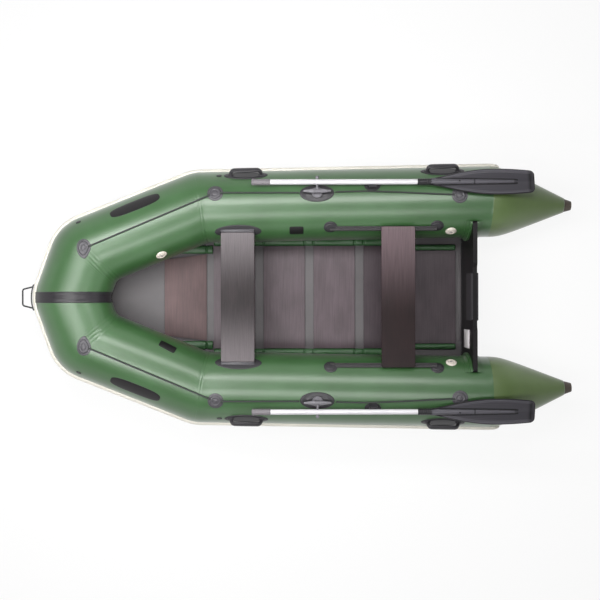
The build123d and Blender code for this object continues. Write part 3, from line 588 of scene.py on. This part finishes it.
def swept(path, radius, columns=20, flat=1.0, up=(0, 0, 1)):
    """A bar along a path: rings square to it, radius tall and radius * flat wide.

    radius is one number, one for each point, or one for each point and angle.
    """
    path = np.asarray(path, dtype=float)
    ahead = np.gradient(path, axis=0)
    ahead /= np.linalg.norm(ahead, axis=1)[:, None]
    side = np.cross(ahead, np.broadcast_to(up, ahead.shape))
    side /= np.linalg.norm(side, axis=1)[:, None]
    top = np.cross(side, ahead)
    angle = circle(columns)
    size = np.asarray(radius, dtype=float)
    size = size.reshape(-1, 1) if size.ndim < 2 else size
    ring = (flat * np.cos(angle)[None, :, None] * side[:, None, :]
            + np.sin(angle)[None, :, None] * top[:, None, :])
    points = path[:, None, :] + size[..., None] * ring
    return capped(points)


def rounded_path(corners, radius, steps=10):
    """Straight runs joined by arcs of this radius, as a list of points."""
    corners = [np.array(corner, dtype=float) for corner in corners]
    out = [corners[0]]
    for before, here, after in zip(corners, corners[1:], corners[2:]):
        back, on = before - here, after - here
        reach = min(np.linalg.norm(back), np.linalg.norm(on)) / 2
        back, on = back / np.linalg.norm(back), on / np.linalg.norm(on)
        half = np.arccos(np.clip(back @ on, -1, 1)) / 2
        size = min(radius, reach * np.tan(half))
        middle = here + (back + on) / np.linalg.norm(back + on) * size / np.sin(half)
        first = here + back * size / np.tan(half) - middle
        last = here + on * size / np.tan(half) - middle
        turn = np.arccos(np.clip(first @ last / size ** 2, -1, 1))
        for share in np.linspace(0, 1, steps + 1):
            out.append(middle + (np.sin((1 - share) * turn) * first
                                 + np.sin(share * turn) * last) / np.sin(turn))
    out.append(corners[-1])
    return np.array(out)


def resampled(path, step):
    """The same path with its points this far apart."""
    gaps = np.linalg.norm(np.diff(path, axis=0), axis=1)
    total = np.concatenate([[0], np.cumsum(gaps)])
    wanted = np.linspace(0, total[-1], max(2, int(total[-1] / step)))
    return np.stack([np.interp(wanted, total, path[:, i]) for i in range(3)], axis=1)


def prism(ring, start, end, bevel=0.0):
    """A closed bar along X: ring lists (y, z) anticlockwise as seen from the bow.

    Its two ends are drawn in by bevel, so that they catch a line of light.
    """
    ring = np.array(ring, dtype=float)
    middle = ring.mean(axis=0)
    drawn = middle + (ring - middle) * (1 - bevel / np.abs(ring - middle).max())
    rows = [(start, np.repeat(middle[None], len(ring), axis=0)), (start, drawn),
            (start + np.sign(end - start) * bevel, ring),
            (end - np.sign(end - start) * bevel, ring), (end, drawn),
            (end, np.repeat(middle[None], len(ring), axis=0))]
    bar = np.stack([np.concatenate([np.full((len(r), 1), x), r], axis=1) for x, r in rows])
    return flipped(bar) if end > start else bar


def box_ring(low, high, bevel=1.0 * MM):
    """A rectangle between two (y, z) corners with its corners cut, for a prism."""
    (y0, z0), (y1, z1) = low, high
    return [(y1, z0 + bevel), (y1, z1 - bevel), (y1 - bevel, z1), (y0 + bevel, z1),
            (y0, z1 - bevel), (y0, z0 + bevel), (y0 + bevel, z0), (y1 - bevel, z0)]


def pair(name, grids, material, body="root", instead_of=(), shades=None, **finish):
    """Two separate pieces from port grids, for things on moving bodies or on own nodes."""
    for side, turn_over in (("port", False), ("starboard", True)):
        forms = [mirrored(grid) if turn_over else grid for grid in grids]
        tones = shades and [flipped(tone) if turn_over else tone for tone in shades]
        place_piece(join_grids(f"{name}_{side}", forms, shades=tones), material,
                    body=body if body == "root" else f"{body}_{side}",
                    instead_of=[f"{hidden}_{side}" for hidden in instead_of], **finish)


# Bare black ovals, plates and eyelets.
OVAL_X, OVAL_LEAN, OVAL_HALF = 892 * MM, 43.0, mm(148, 39)
sides("name_ovals", [relief((CHEEK_PORT, OVAL_X, OVAL_LEAN), OVAL_HALF,
                            rounded(1.4, 1.0), power=3.2)],
      GLOSS_BLACK)
sides("eyelets", [relief(spot, mm(15, 9), rounded(3, 2))
                  for spot in ((SIDE_PORT, 455 * MM, 55), (CHEEK_PORT, 1190 * MM, 57))],
      RUBBER)
plate_form = rounded(1.5, 1.0)
bow_plate = relief((CHEEK_PORT, 822 * MM, -47), mm(50, 25), plate_form, power=9,
                   turn=np.radians(-8))
side_plate = relief((SIDE_PORT, 20 * MM, -49), mm(40, 30), plate_form, power=9)
sides("blank_plates", [bow_plate, mirrored(side_plate)], GLOSS_BLACK, both=False)

# Rope holders: a thin disc, then a domed boss with a groove round it.
HOLDER_DISC = 45 * MM
holder_spots = [(CHEEK_PORT, 1215 * MM, 8.0), (SIDE_PORT, 473 * MM, 17.4),
                (SIDE_PORT, -900 * MM, 6.2)]
holder_profile = heights(
    (0, 9.2), (0.16, 9.0), (0.3, 8.2), (0.34, 6.6), (0.4, 6.4), (0.45, 8.0), (0.56, 8.4),
    (0.66, 7.4), (0.71, 5.0), (0.73, 2.8), (0.78, 2.2), (0.85, 2.8), (0.95, 2.4), (1, 1.2))
sides("rope_holder_discs", [relief(spot, (HOLDER_DISC, HOLDER_DISC), holder_profile)
                            for spot in holder_spots],
      GREY_RUBBER, instead_of=["lifeline_holders"])

# Valves: a flanged seat, a bayonet ring and a cap with a grip bar.
valve_profile = heights(
    (0, 6.4), (0.3, 6.2), (0.42, 5.4), (0.46, 3.8), (0.54, 3.6), (0.58, 5.4), (0.72, 5.8),
    (0.78, 4.6), (0.82, 2.4), (0.93, 2.2), (1, 1.0))
VALVE_HALF, VALVE_GRIP_HALF = mm(31, 31), mm(11, 2.6)
valve_seats, valve_grips = [], []
for spot, turn, twins in (((SIDE_PORT, -861 * MM, -58), 0.5, (False, True)),
                          ((CHEEK_PORT, 864 * MM, -58), 0.9, (True,))):
    seat = relief(spot, VALVE_HALF, valve_profile)
    grip = relief(spot, VALVE_GRIP_HALF, rounded(7.0, 1.5), power=4, turn=turn,
                  columns=32)
    valve_seats += [mirrored(seat) if twin else seat for twin in twins]
    valve_grips += [mirrored(grip) if twin else grip for twin in twins]
sides("valve_seats", valve_seats, WHITE_PLASTIC, both=False, slot="valve_white",
      instead_of=["air_valves"])
sides("valve_grips", valve_grips, GREY_PLASTIC, both=False, slot="valve_white")


# ---- lifelines
CORD, CORD_HIGH = mm(4.8, 5.6)
CORD_PLAITS, CORD_TWIST = 6, 26 * MM
CORD_END = 28 * MM  # a cord stops this short of a boss's middle
bow_cord = [(CHEEK_PORT, 1215, 8.0), (SIDE_PORT, 473, 17.4)]
front_cord = [(SIDE_PORT, 473, 17.4), (SIDE_PORT, -26, 14.6)]
aft_cord = [(SIDE_PORT, -172, 14.6), (SIDE_PORT, -370, 15.2), (SIDE_PORT, -560, 12.4),
            (SIDE_PORT, -730, 9.0), (SIDE_PORT, -900, 6.2)]


def on_chamber(length, theta, height):
    """Points this high above the chambers, at a length along them and a lean outboard."""
    return on_skin(station_at(length), theta, height)


def pulled_straight(length, first, last):
    """The lean at each length that puts a taut cord on the plan's straight line."""
    leans = np.radians(np.linspace(-5, 40, 181))
    here = on_chamber(length[:, None], leans[None, :], CORD_HIGH)[..., :2]
    ahead = (last - first)[:2]
    off = (here[..., 1] - first[1]) * ahead[0] - (here[..., 0] - first[0]) * ahead[1]
    return np.array([np.interp(0.0, *sorted_pair(row, leans)) for row in off])


def sorted_pair(key, value):
    """Both arrays in the order of the first."""
    order = np.argsort(key)
    return key[order], value[order]


def cord(spots, straight=False):
    """A plaited cord laid along the chambers: a round bar whose radius swells with its plaits.

    Two sets of strands run round it against each other, so the swelling is the greater of
    two waves that turn opposite ways.
    """
    lengths, leans = sorted_pair(
        np.array([length_at(segment, x * MM) for segment, x, _ in spots]),
        np.radians([lean for _, _, lean in spots]))
    wanted = np.arange(lengths[0] + CORD_END, lengths[-1] - CORD_END, 2.5 * MM)
    theta = np.interp(wanted, lengths, leans)
    if straight:
        ends = on_chamber(lengths, leans, CORD_HIGH)
        theta = pulled_straight(wanted, ends[0], ends[-1])
    angle = circle(16)[None, :]
    turn = 2 * np.pi * wanted[:, None] / CORD_TWIST
    left = np.cos(CORD_PLAITS / 2 * angle + turn * 2)
    right = np.cos(CORD_PLAITS / 2 * angle - turn * 2)
    return swept(on_chamber(wanted, theta, CORD_HIGH),
                 CORD * (0.92 + 0.08 * np.maximum(left, right)), columns=16)


pair("lifeline_cord", [cord(bow_cord, straight=True), cord(front_cord), cord(aft_cord)], ROPE,
     slot="rope_black", instead_of=["lifeline"])


# ---- rowlocks and oars
HUB_X, HUB_LEAN = -99 * MM, np.radians(14.0)
AXLE_HIGH, PIN_REACH, PIN_TILT = 35 * MM, 52 * MM, np.radians(5.0)
hub_across = np.array([0, np.cos(HUB_LEAN), -np.sin(HUB_LEAN)])
hub_out = np.array([0, np.sin(HUB_LEAN), np.cos(HUB_LEAN)])
hub_axis_y = side_axis_y(HUB_X)
hub_foot = np.array([HUB_X, hub_axis_y, AXIS_Z]) + hub_out * CHAMBER
axle = hub_foot + hub_out * AXLE_HIGH
oar_middle = axle + PIN_REACH * (np.cos(PIN_TILT) * hub_across + np.sin(PIN_TILT) * hub_out)


def on_oar(along, across, high):
    """Points given along the oar from its pin, outboard of its middle and above it."""
    along, across, high = np.broadcast_arrays(*map(np.asarray, (along, across, high)))
    return (oar_middle + along[..., None] * np.array([1.0, 0, 0])
            + across[..., None] * hub_across + high[..., None] * hub_out)


def turned(stretches, columns=48):
    """A round bar on the oar's middle line from (place along, radius) pairs, ends closed."""
    along, size = (np.array(row)[:, None] for row in zip(*stretches))
    angle = circle(columns)[None, :]
    return flipped(on_oar(along, size * np.cos(angle), size * np.sin(angle)))


pad_profile = heights(
    (0, 6.0), (0.5, 6.0), (0.58, 5.4), (0.62, 4.4), (0.68, 4.2), (0.86, 4.2), (0.9, 4.7),
    (0.95, 4.6), (0.985, 3.4), (1, 1.6))
rowlock_spot = (SIDE_PORT, HUB_X, 14.0)
pair("rowlock_seat", [
    relief(rowlock_spot, mm(97, 50), pad_profile),
    relief(rowlock_spot, mm(34, 34), rounded(7.9, 1.0))],
     RUBBER, instead_of=["rowlock_pad"])

SLEEVE = 18.5 * MM
BLADE_NECK, BLADE_END, BLADE_HALF = mm(-634, -1216, 77.5)
BLADE_WEB = 2.4 * MM  # half the blade's thickness between ribs
pair("oar_grip_ribbed", [turned(
    [(263 * MM, 0), mm(263, 14), mm(264, 18), mm(270, 18)]
    + [(x * MM, (17.6 if ridge else 16.8) * MM)
       for start in np.arange(272, 352, 8) for x, ridge in
       ((start, False), (start + 2, True), (start + 6, True), (start + 8, False))]
    + [mm(353, 18), mm(362, 18), mm(367, 15), mm(369, 9),
       (369 * MM, 0)])],
     GRIP, body="oar", slot="grip_grey", instead_of=["oar_grip"])


def blade_half_width(share):
    """Half the blade's width at a share of its length: quick at the neck, full at 0.62."""
    grown = np.sin(np.pi / 2 * np.clip(share / 0.62, 0, 1)) ** 1.15
    growing = SLEEVE + (BLADE_HALF - SLEEVE) * grown
    falling = 1 - 0.18 * np.clip((share - 0.62) / 0.38, 0, None) ** 2
    corner = np.clip((share - 0.955) / 0.045, 0, 1)
    return growing * falling - 26 * MM * (1 - np.sqrt(1 - corner ** 2 * 0.999))


def bell(distance, width):
    """A smooth bump of height one about nought."""
    return np.exp(-(distance / width) ** 2)


def blade_surface():
    """The blade as one closed sheet over its upper face and back under it, and its shades.

    Height is the web, plus a rounded rim along the outline, two fine lines inside it, a
    central spine that carries the shaft on and fades at 0.84, grooves that fan out from the
    neck, and a dished face.  The shades are painted: painted shade in the creases and at the
    outline, painted highlight on the ridges.
    """
    share = np.linspace(0, 1, 200)[:, None] ** 0.9
    across = np.concatenate([np.linspace(1, -1, 91), np.linspace(-1, 1, 91)])[None, :]
    upper = np.concatenate([np.ones(91), -np.ones(91)])[None, :]
    half = blade_half_width(share)
    edge = half * (1 - np.abs(across))
    end = (1 - share) * (BLADE_NECK - BLADE_END)
    inside = np.minimum(edge, end)
    settled = np.minimum(inside / (3 * MM), 1)
    wide_part = np.clip((half - 35 * MM) / (20 * MM), 0, 1)
    rim = bell(inside - 4 * MM, 3.5 * MM)
    lines = wide_part * (bell(inside - 13 * MM, 2 * MM) + bell(inside - 19 * MM, 2 * MM))
    spine_height = np.interp(share, [0, 0.8, 0.84], [SLEEVE, 7 * MM, 0.0]) - BLADE_WEB
    spine_half = np.interp(share, [0, 0.8, 0.84], [SLEEVE, 10 * MM, 7 * MM])
    place = across * half
    spine = spine_height * np.sqrt(np.clip(1 - (place / spine_half) ** 2, 0, 1))
    crease = bell(np.abs(place) - spine_half - 2 * MM, 3.5 * MM) * (share < 0.84)
    fan = np.cos(2 * np.pi * 7 * np.abs(across)) * wide_part * np.clip(1 - share * 1.2, 0, 1)
    dish = -1.6 * MM * np.sin(np.pi * np.abs(across)) * np.minimum(inside / (20 * MM), 1)
    web = BLADE_WEB * np.sqrt(np.clip(inside / (2.5 * MM), 0, 1))
    high = web + settled * (2.4 * MM * rim + MM * lines - 0.8 * MM * crease + 0.3 * MM * fan)
    high = np.maximum(high + dish, web * 0.4) + spine.clip(0)
    points = on_oar(BLADE_NECK + share * (BLADE_END - BLADE_NECK), place, upper * high)
    cross_mark = bell(share - 0.42, 0.006) * (np.abs(place) < 14 * MM)
    # Painted shade in the creases and at the outline, painted highlight on the rim, fine lines and
    # spine.
    shade = (0.5 + 0.5 * bell(inside - 9 * MM, 2 * MM) + 0.35 * lines + 0.2 * fan
             + 0.45 * (spine > 3 * MM) * (share < 0.8)
             - 0.9 * bell(inside, 5 * MM) - 1.0 * crease - 1.0 * cross_mark
             - 0.5 * np.clip((share - 0.93) / 0.03, 0, 1))
    closed = np.concatenate([capped(points)[:-1], on_oar(BLADE_END, place[-1:], 0 * place[-1:])])
    return closed, np.concatenate([shade[:1], shade, shade[-1:]])


def one_tone(grid, tone):
    """One shade for a whole grid."""
    return np.full(grid.shape[:2], tone)


blade, blade_tones = blade_surface()
blade_bolt = swept(on_oar(np.full(4, BLADE_NECK - 160 * MM), np.zeros(4),
                          np.array([15.0, 16.0, 17.6, 18.0]) * MM),
                   [5 * MM, 5 * MM, 4.6 * MM, 3.4 * MM], up=(1, 0, 0))
sleeve_grooves = [(x * MM, size * MM) for start in np.arange(-566, -620, -12) for x, size in
                  ((start, 18.5), (start - 7, 18.5), (start - 8, 17.4), (start - 10, 17.4))]
blade_sleeve = flipped(turned([(-560 * MM, 0), mm(-560, 17), (-562 * MM, SLEEVE)]
                              + sleeve_grooves + [(-633 * MM, SLEEVE), mm(-650, 16.6),
                                                  (-650 * MM, 0)]))
pair("oar_blade_moulded", [blade, blade_sleeve, blade_bolt], BLADE, body="oar",
     slot="blade_black", instead_of=["oar_blade"],
     shades=[blade_tones, one_tone(blade_sleeve, 0.1), one_tone(blade_bolt, 0.0)])

# ---- carrying handles
HANDLE_LEAN, HANDLE_HALF = 55.5, mm(125, 42)
handle_profile = heights(
    (0, 2.4), (0.55, 2.4), (0.63, 2.9), (0.7, 4.2), (0.76, 4.0), (0.82, 2.8), (0.9, 3.0),
    (0.96, 2.6), (1, 1.2))
GRIP_THICK, GRIP_WIDE, GRIP_HIGH = mm(10, 20, 32)
GRIP_REACH, GRIP_SLOPE, GRIP_BEND = mm(88, 8, 20)
GRIP_NARROW = 1.3  # times as wide as thick at its feet
handles = []
for handle_x in mm(302, -818):
    theta = np.radians(HANDLE_LEAN)
    handles.append(relief((SIDE_PORT, handle_x, HANDLE_LEAN), HANDLE_HALF, handle_profile))
    arch = [(-GRIP_REACH, 0, 0), (GRIP_SLOPE - GRIP_REACH, 0, GRIP_HIGH),
            (GRIP_REACH - GRIP_SLOPE, 0, GRIP_HIGH), (GRIP_REACH, 0, 0)]
    arch = resampled(rounded_path(arch, GRIP_BEND), 3 * MM)
    path = on_chamber(length_at(SIDE_PORT, handle_x) + arch[:, 0], theta, arch[:, 2])
    lens = np.sqrt(np.clip(1 - (arch[:, 0] / (99 * MM)) ** 2, 0.12, 1))
    raised = np.clip(arch[:, 2] / GRIP_HIGH, 0, 1) ** 3
    broad = GRIP_NARROW + (GRIP_WIDE / GRIP_THICK - GRIP_NARROW) * raised * lens
    across_here = np.array([0, np.cos(theta), -np.sin(theta)])
    handles.append(swept(path, GRIP_THICK, columns=32, flat=broad[:, None, None],
                         up=np.cross(across_here, np.gradient(path, axis=0))))
    for post in (-GRIP_REACH, GRIP_REACH):
        handles.append(relief((SIDE_PORT, handle_x + post, HANDLE_LEAN), mm(19, 17),
                              rounded(7, 4, share_edge=0.7), power=3, columns=40))
sides("carrying_handles", handles, RUBBER, instead_of=["carry_handles"])

# ---- benches
bench_low, bench_high = np.array(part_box("seat_front"))
BENCH_X = (bench_low[0] + bench_high[0]) / 2
BENCH_INSET = 12 * MM  # the bench's socket lies this far inboard
BRACKET_LEAN = -np.degrees(np.arctan2(hub_axis_y - BENCH_INSET - bench_high[1],
                                      bench_low[2] - AXIS_Z))
lip = box_ring((bench_high[1] + 1 * MM, bench_low[2] - 45 * MM),
               (bench_high[1] + 21 * MM, bench_high[2] + 2 * MM), 2.5 * MM)
foot = box_ring((bench_high[1] - 35 * MM, bench_low[2] - 60 * MM),
                (bench_high[1] + 3 * MM, bench_low[2] - 0.5 * MM))
bench_pad = relief((SIDE_PORT, BENCH_X, BRACKET_LEAN), mm(133, 48),
                   rounded(3, 2))
pair("bench_socket_pad", [bench_pad], RUBBER, instead_of=["seat_bracket"])
pair("bench_socket", [prism(ring, bench_low[0], bench_high[0], 1.5 * MM) for ring in (lip, foot)],
     GREY_RUBBER)

RAIL_Y, RAIL_TOP = 388 * MM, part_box("seat_rear")[0][2] - 3 * MM
RAIL_FRONT, RAIL_REAR = mm(-173, -777)


def rail_ring():
    """A shallow channel: two rounded lips with a groove between, on a deep web."""
    lips = []
    for middle in (RAIL_Y + 8 * MM, RAIL_Y - 8 * MM):
        angle = np.linspace(0, np.pi, 9)
        lips += [(middle + 5 * MM * np.cos(a), RAIL_TOP - 5.2 * MM + 5 * MM * np.sin(a))
                 for a in angle]
    return lips + [(RAIL_Y - 13 * MM, RAIL_TOP - 42 * MM), (RAIL_Y + 13 * MM, RAIL_TOP - 20 * MM)]


rail_pads = []
for rail_x in (RAIL_FRONT, RAIL_REAR):
    lean_here = -np.degrees(np.arctan2(side_axis_y(rail_x) - RAIL_Y, RAIL_TOP - AXIS_Z))
    for half, form in ((mm(39, 39), rounded(3.2, 2)),
                       (mm(30, 26), rounded(7, 4.5, share_edge=0.8))):
        rail_pads.append(relief((SIDE_PORT, rail_x, lean_here), half, form))
pair("rail_end_pads", rail_pads, RUBBER)
pair("slide_rail", [prism(rail_ring(), RAIL_REAR, RAIL_FRONT, 0.5 * MM)], RAIL,
     slot="rail_grey", instead_of=["seat_rail"])

# ---- floor and bottom
FLOOR_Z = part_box("floor_panel_2")[0][2]
panel_boxes = {number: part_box(f"floor_panel_{number}") for number in range(1, 7)}
panel_ends = sorted(corner[0] for box in panel_boxes.values() for corner in box)
# Each sleeve: its rear and front end, its inner edge, its width and its height.
SLEEVE_SPANS = [
    (panel_boxes[5][0][0], panel_boxes[2][1][0], 309 * MM, 46 * MM, 22 * MM),
    (panel_boxes[6][0][0], panel_boxes[6][1][0], 281 * MM, 34 * MM, 20 * MM),
    (panel_boxes[2][1][0] + 6 * MM, panel_boxes[1][0][0] + 150 * MM, 262 * MM, 50 * MM, 18 * MM)]


def edge_sleeve(rear, front, inner_y, width, height):
    """A fabric sleeve along the floor's edge: half round, nipped in beside each panel end.

    Ahead of the hinge it climbs with the bow's floor.
    """
    along = np.linspace(rear, front, 260)[:, None]
    angle = np.linspace(0, np.pi, 21)[None, :]
    nip = sum(bell(along - end, 5 * MM) for end in panel_ends)
    tall = height * (1 - 0.45 * nip) + 1.2 * MM * np.sin(along / (37 * MM)) * np.cos(3 * angle)
    wide = width / 2 * (1 - 0.12 * nip)
    foot = FLOOR_Z + 0.4 * MM + np.tan(RISE) * np.clip(along - CORNER_X, 0, None)
    y = inner_y + width / 2 + wide * np.cos(angle)
    shell = np.stack(np.broadcast_arrays(along, y, foot + tall * np.sin(angle) ** 0.8), axis=-1)
    under = shell[:, ::-1].copy()
    under[..., 2] = foot
    return flipped(capped(np.concatenate([shell, under[:, 1:-1]], axis=1)))


pair("floor_edge_sleeve", [edge_sleeve(*span) for span in SLEEVE_SPANS],
     SLEEVE_GREEN, slot="pvc_green", instead_of=["floor_sleeve"])

# Where the bottom meets the transom: a grey tape, a dark groove and a thin pale rule.
tapes = [prism(box_ring((-265 * MM, FLOOR_Z + 0.2 * MM), (265 * MM, FLOOR_Z + high), 0.5 * MM),
               front, rear, 0.4 * MM)
         for front, rear, high in ((-972 * MM, -954 * MM, 7 * MM), (-940 * MM, -934 * MM, 6 * MM))]
sides("transom_foot_tapes", tapes, GREY_FLOOR, both=False, slot="floor_fabric")
label_low, label_high = mm(191, 105), mm(297, 275)
label_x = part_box("transom_board")[1][0]
sides("blank_label", [prism(box_ring(label_low, label_high, 3 * MM), label_x - 4 * MM,
                            label_x + 1.0 * MM, 0.3 * MM)], LABEL, both=False,
      slot="transom_black")

# ---- the strake
STRAKE_HALF, STRAKE_DEPTH, STRAKE_REAR = mm(22.5, 18, -1150)


def hull_stations(start, end):
    """Stations between two, closer together on the bends than on the straights."""
    marks = [start, *range(int(np.ceil(start)), int(np.floor(end)) + 1), end]
    runs = [np.linspace(a, b, 50, endpoint=False) for a, b in zip(marks, marks[1:]) if b > a]
    return np.concatenate(runs + [[end]])[:, None]


def strake():
    """The rub strake: a broad half round with a flat beside two fine ridges, all round."""
    back = MARKS[-1] - length_at(CONE_PORT, STRAKE_REAR)
    stations = hull_stations(station_at(MARKS[-1] - back), station_at(back))
    length = axis_length(stations)
    to_end = np.minimum(length - length.min(), length.max() - length)
    end = np.sqrt(np.clip(1 - (1 - np.clip(to_end / (40 * MM), 0, 1)) ** 2, 0.02, 1))
    angle = np.linspace(-np.pi / 2, np.pi / 2, 33)[None, :]
    ridges = 1.1 * MM * (bell(angle - 0.55, 0.13) + bell(angle + 0.55, 0.13)) \
        + 0.8 * MM * bell(angle, 0.16)
    out = CHAMBER - 2 * MM + end * (2 * MM + (STRAKE_DEPTH - 1.5 * MM) * np.cos(angle) + ridges)
    high = end * STRAKE_HALF * np.sin(angle)
    front = hull(stations, out, high)
    back_face = hull(stations, CHAMBER - 3 * MM, high[:, ::-1])
    return flipped(capped(np.concatenate([front, back_face[:, 1:-1]], axis=1)))


sides("rub_strake_profile", [strake()], CREAM, both=False, slot="strake_cream",
      instead_of=["rub_strake"])


# ---- the bow's band
BAND_HALF, BAND_NOSE, BAND_REACH = 31 * MM, 7.5, 0.95


def bow_band():
    """The black keel band over the nose: raised borders and three fine ridges along it."""
    lean = np.radians(np.linspace(-84, 82, 120))
    y = np.linspace(-BAND_HALF, BAND_HALF, 61)
    lift = 1.8 * MM + 1.2 * MM * bell(np.abs(y) - BAND_HALF + 3.5 * MM, 2.5 * MM) \
        + 0.9 * MM * (bell(y, 1.6 * MM) + bell(np.abs(y) - 7 * MM, 1.6 * MM))
    lift = lift * np.sqrt(np.clip((BAND_HALF - np.abs(y)) / (1.5 * MM), 0, 1))
    rows = []
    near = np.linspace(BAND_NOSE - BAND_REACH, BAND_NOSE + BAND_REACH, 241)
    for theta in lean:
        row = [on_skin(near, theta, height) for height in (*lift, FOOT)]
        top = np.stack([[np.interp(v, line[::-1, 1], line[::-1, axis]) for axis in range(3)]
                        for v, line in zip(y, row[:-1])])
        under = np.stack([[np.interp(v, row[-1][::-1, 1], row[-1][::-1, axis])
                           for axis in range(3)] for v in y[::-1]])
        rows.append(np.concatenate([top, under[1:-1]]))
    return capped(np.stack(rows))


sides("bow_band_ridged", [bow_band()], SHINY_RUBBER, both=False,
      instead_of=["bow_band"])


# ---- plain dressing
finishes = {
    "bottom_skin": UNDERSIDE, "floor_mat": GREY_FLOOR, "floor_panel_1": PANEL_BOW,
    "floor_panel": PANEL, "floor_panel_5": PANEL_SHADED_AFT, "floor_panel_6": PANEL_SHADED_AFT,
    "transom_board": TRANSOM, "transom_holder": GREEN,
    "motor_pads": RUBBER, "drain_plug": RUBBER, "seat_front": BENCH, "seat_rear": MAHOGANY,
    "seat_sliders": RUBBER, "rowlock_turntable": GREY_PLASTIC, "rowlock_pin": GREY_PLASTIC,
    "oar_shaft": ALLOY, "oar_clip": RUBBER, "tow_eye": STEEL, "cone_caps": CAP,
}
for name, piece in NODES.items():
    match = max((key for key in finishes if name.startswith(key)), key=len, default=None)
    if match:
        dress(piece, finishes[match])

# ---- camera and light
CAMERA_HEIGHT, SENSOR = 6.0, 36.0  # metres, and millimetres of the camera's chip
CAMERA_YAW = 0.0018  # the boat lies this much askew, in radians
VIEW_WIDTH = 3.489  # metres across the picture, at AXIS_Z
WHITE = "#ffffff"
FLOOR_WHITE = 0.88  # the rest of the floor takes the shadow
STUDIO_REACH = 14.0  # the pale wall stands this far off
WALL_HEIGHT = 7.0
BOX_WIDTH = 0.5
CEILING = 0.22  # strength of the light from all round
SHEEN = 0.8  # the boxes' extra light on what is glossy


def add_light(name, place, towards, size, power, spin=0.0):
    """A soft rectangular lamp at place, facing towards a point and spun about that line.

    The camera looks past it.  A twin lights only what is glossy, so that a box shows more
    strongly in the coated fabric than it lights it.
    """
    facing = (Vector(towards) - Vector(place)).to_track_quat("-Z", "Y")
    for part, share in (("", 1.0), (" front", SHEEN)):
        data = bpy.data.lights.new(name + part, "AREA")
        data.shape = "RECTANGLE"
        data.size, data.size_y = size
        data.energy = power * share
        lamp = linked(name + part, data)
        lamp.location = place
        lamp.rotation_euler = (facing @ Quaternion((0, 0, 1), spin)).to_euler()
        lamp.visible_camera = False
        lamp.visible_diffuse = not part


# Two long soft boxes either side of the camera, one across the bow and one by each cheek.
add_light("starboard soft box", (0.3, -0.95, 2.3), (0.3, -0.55, 0), (3.2, BOX_WIDTH), 46)
add_light("port soft box", (0.3, 1.05, 2.7), (0.3, 0.6, 0), (3.2, BOX_WIDTH), 34)
add_light("bow soft box", (1.68, 0.05, 2.4), (1.25, 0, 0.3), (BOX_WIDTH, 2.2), 20)
for side in (-1, 1):
    add_light(f"cheek soft box {side:+d}", (1.05, side * 0.86, 2.25),
              (0.95, side * 0.5, 0.4), (0.9, 0.35), 7, spin=-side * np.radians(22))

world = bpy.data.worlds.new("dim studio ceiling")
bpy.context.scene.world = world
world.use_nodes = True
feed(world.node_tree, world.node_tree.nodes["Background"], Color=colour(WHITE), Strength=CEILING)


def white_paper(name, share):
    """White paper that stays white to the eye and in reflections, and is lit as paper else.

    share of what is seen is even white; the rest is the lit paper, which keeps the shadow.
    """
    made, tree, shader, place = blank_material(name)
    feed(tree, shader, Base_Color=colour(WHITE), Roughness=0.9)
    rays = node(tree, "ShaderNodeLightPath").outputs
    seen = rays["Is Camera Ray"]
    for operation, other in (("MAXIMUM", rays["Is Glossy Ray"]),
                             ("MAXIMUM", rays["Is Transmission Ray"]), ("MULTIPLY", share)):
        seen = node(tree, "ShaderNodeMath", {"operation": operation}, i0=seen,
                    i1=other).outputs[0]
    plain = node(tree, "ShaderNodeEmission", Color=colour(WHITE), Strength=1.0).outputs[0]
    both = node(tree, "ShaderNodeMixShader", i0=seen, i1=shader.outputs[0], i2=plain).outputs[0]
    tree.links.new(both, tree.nodes["Material Output"].inputs["Surface"])
    return made


reach = STUDIO_REACH
floor = join_grids("floor", [np.stack(np.meshgrid([-reach, reach], [-reach, reach], [0.0],
                                                  indexing="ij"), axis=-1)[:, :, 0]],
                   wrapped=False)
dress(floor, white_paper("white paper floor", FLOOR_WHITE))

turn = np.linspace(0, 2 * np.pi, 97)[:, None]
rise_up = np.array([0.0, WALL_HEIGHT])[None, :]
wall = join_grids("backdrop wall", [np.stack(np.broadcast_arrays(
    reach * np.cos(turn), reach * np.sin(turn), rise_up), axis=-1)], wrapped=False)
dress(wall, white_paper("white paper backdrop", 1.0))

camera_data = bpy.data.cameras.new("camera")
camera_data.sensor_width = SENSOR
camera_data.lens = SENSOR * (CAMERA_HEIGHT - AXIS_Z) / VIEW_WIDTH
camera = linked("camera", camera_data)
camera.location = (-0.002, 0.017, CAMERA_HEIGHT)
camera.rotation_euler = (0, 0, np.pi - CAMERA_YAW)
bpy.context.scene.camera = camera
bpy.context.scene.view_settings.view_transform = "Standard"
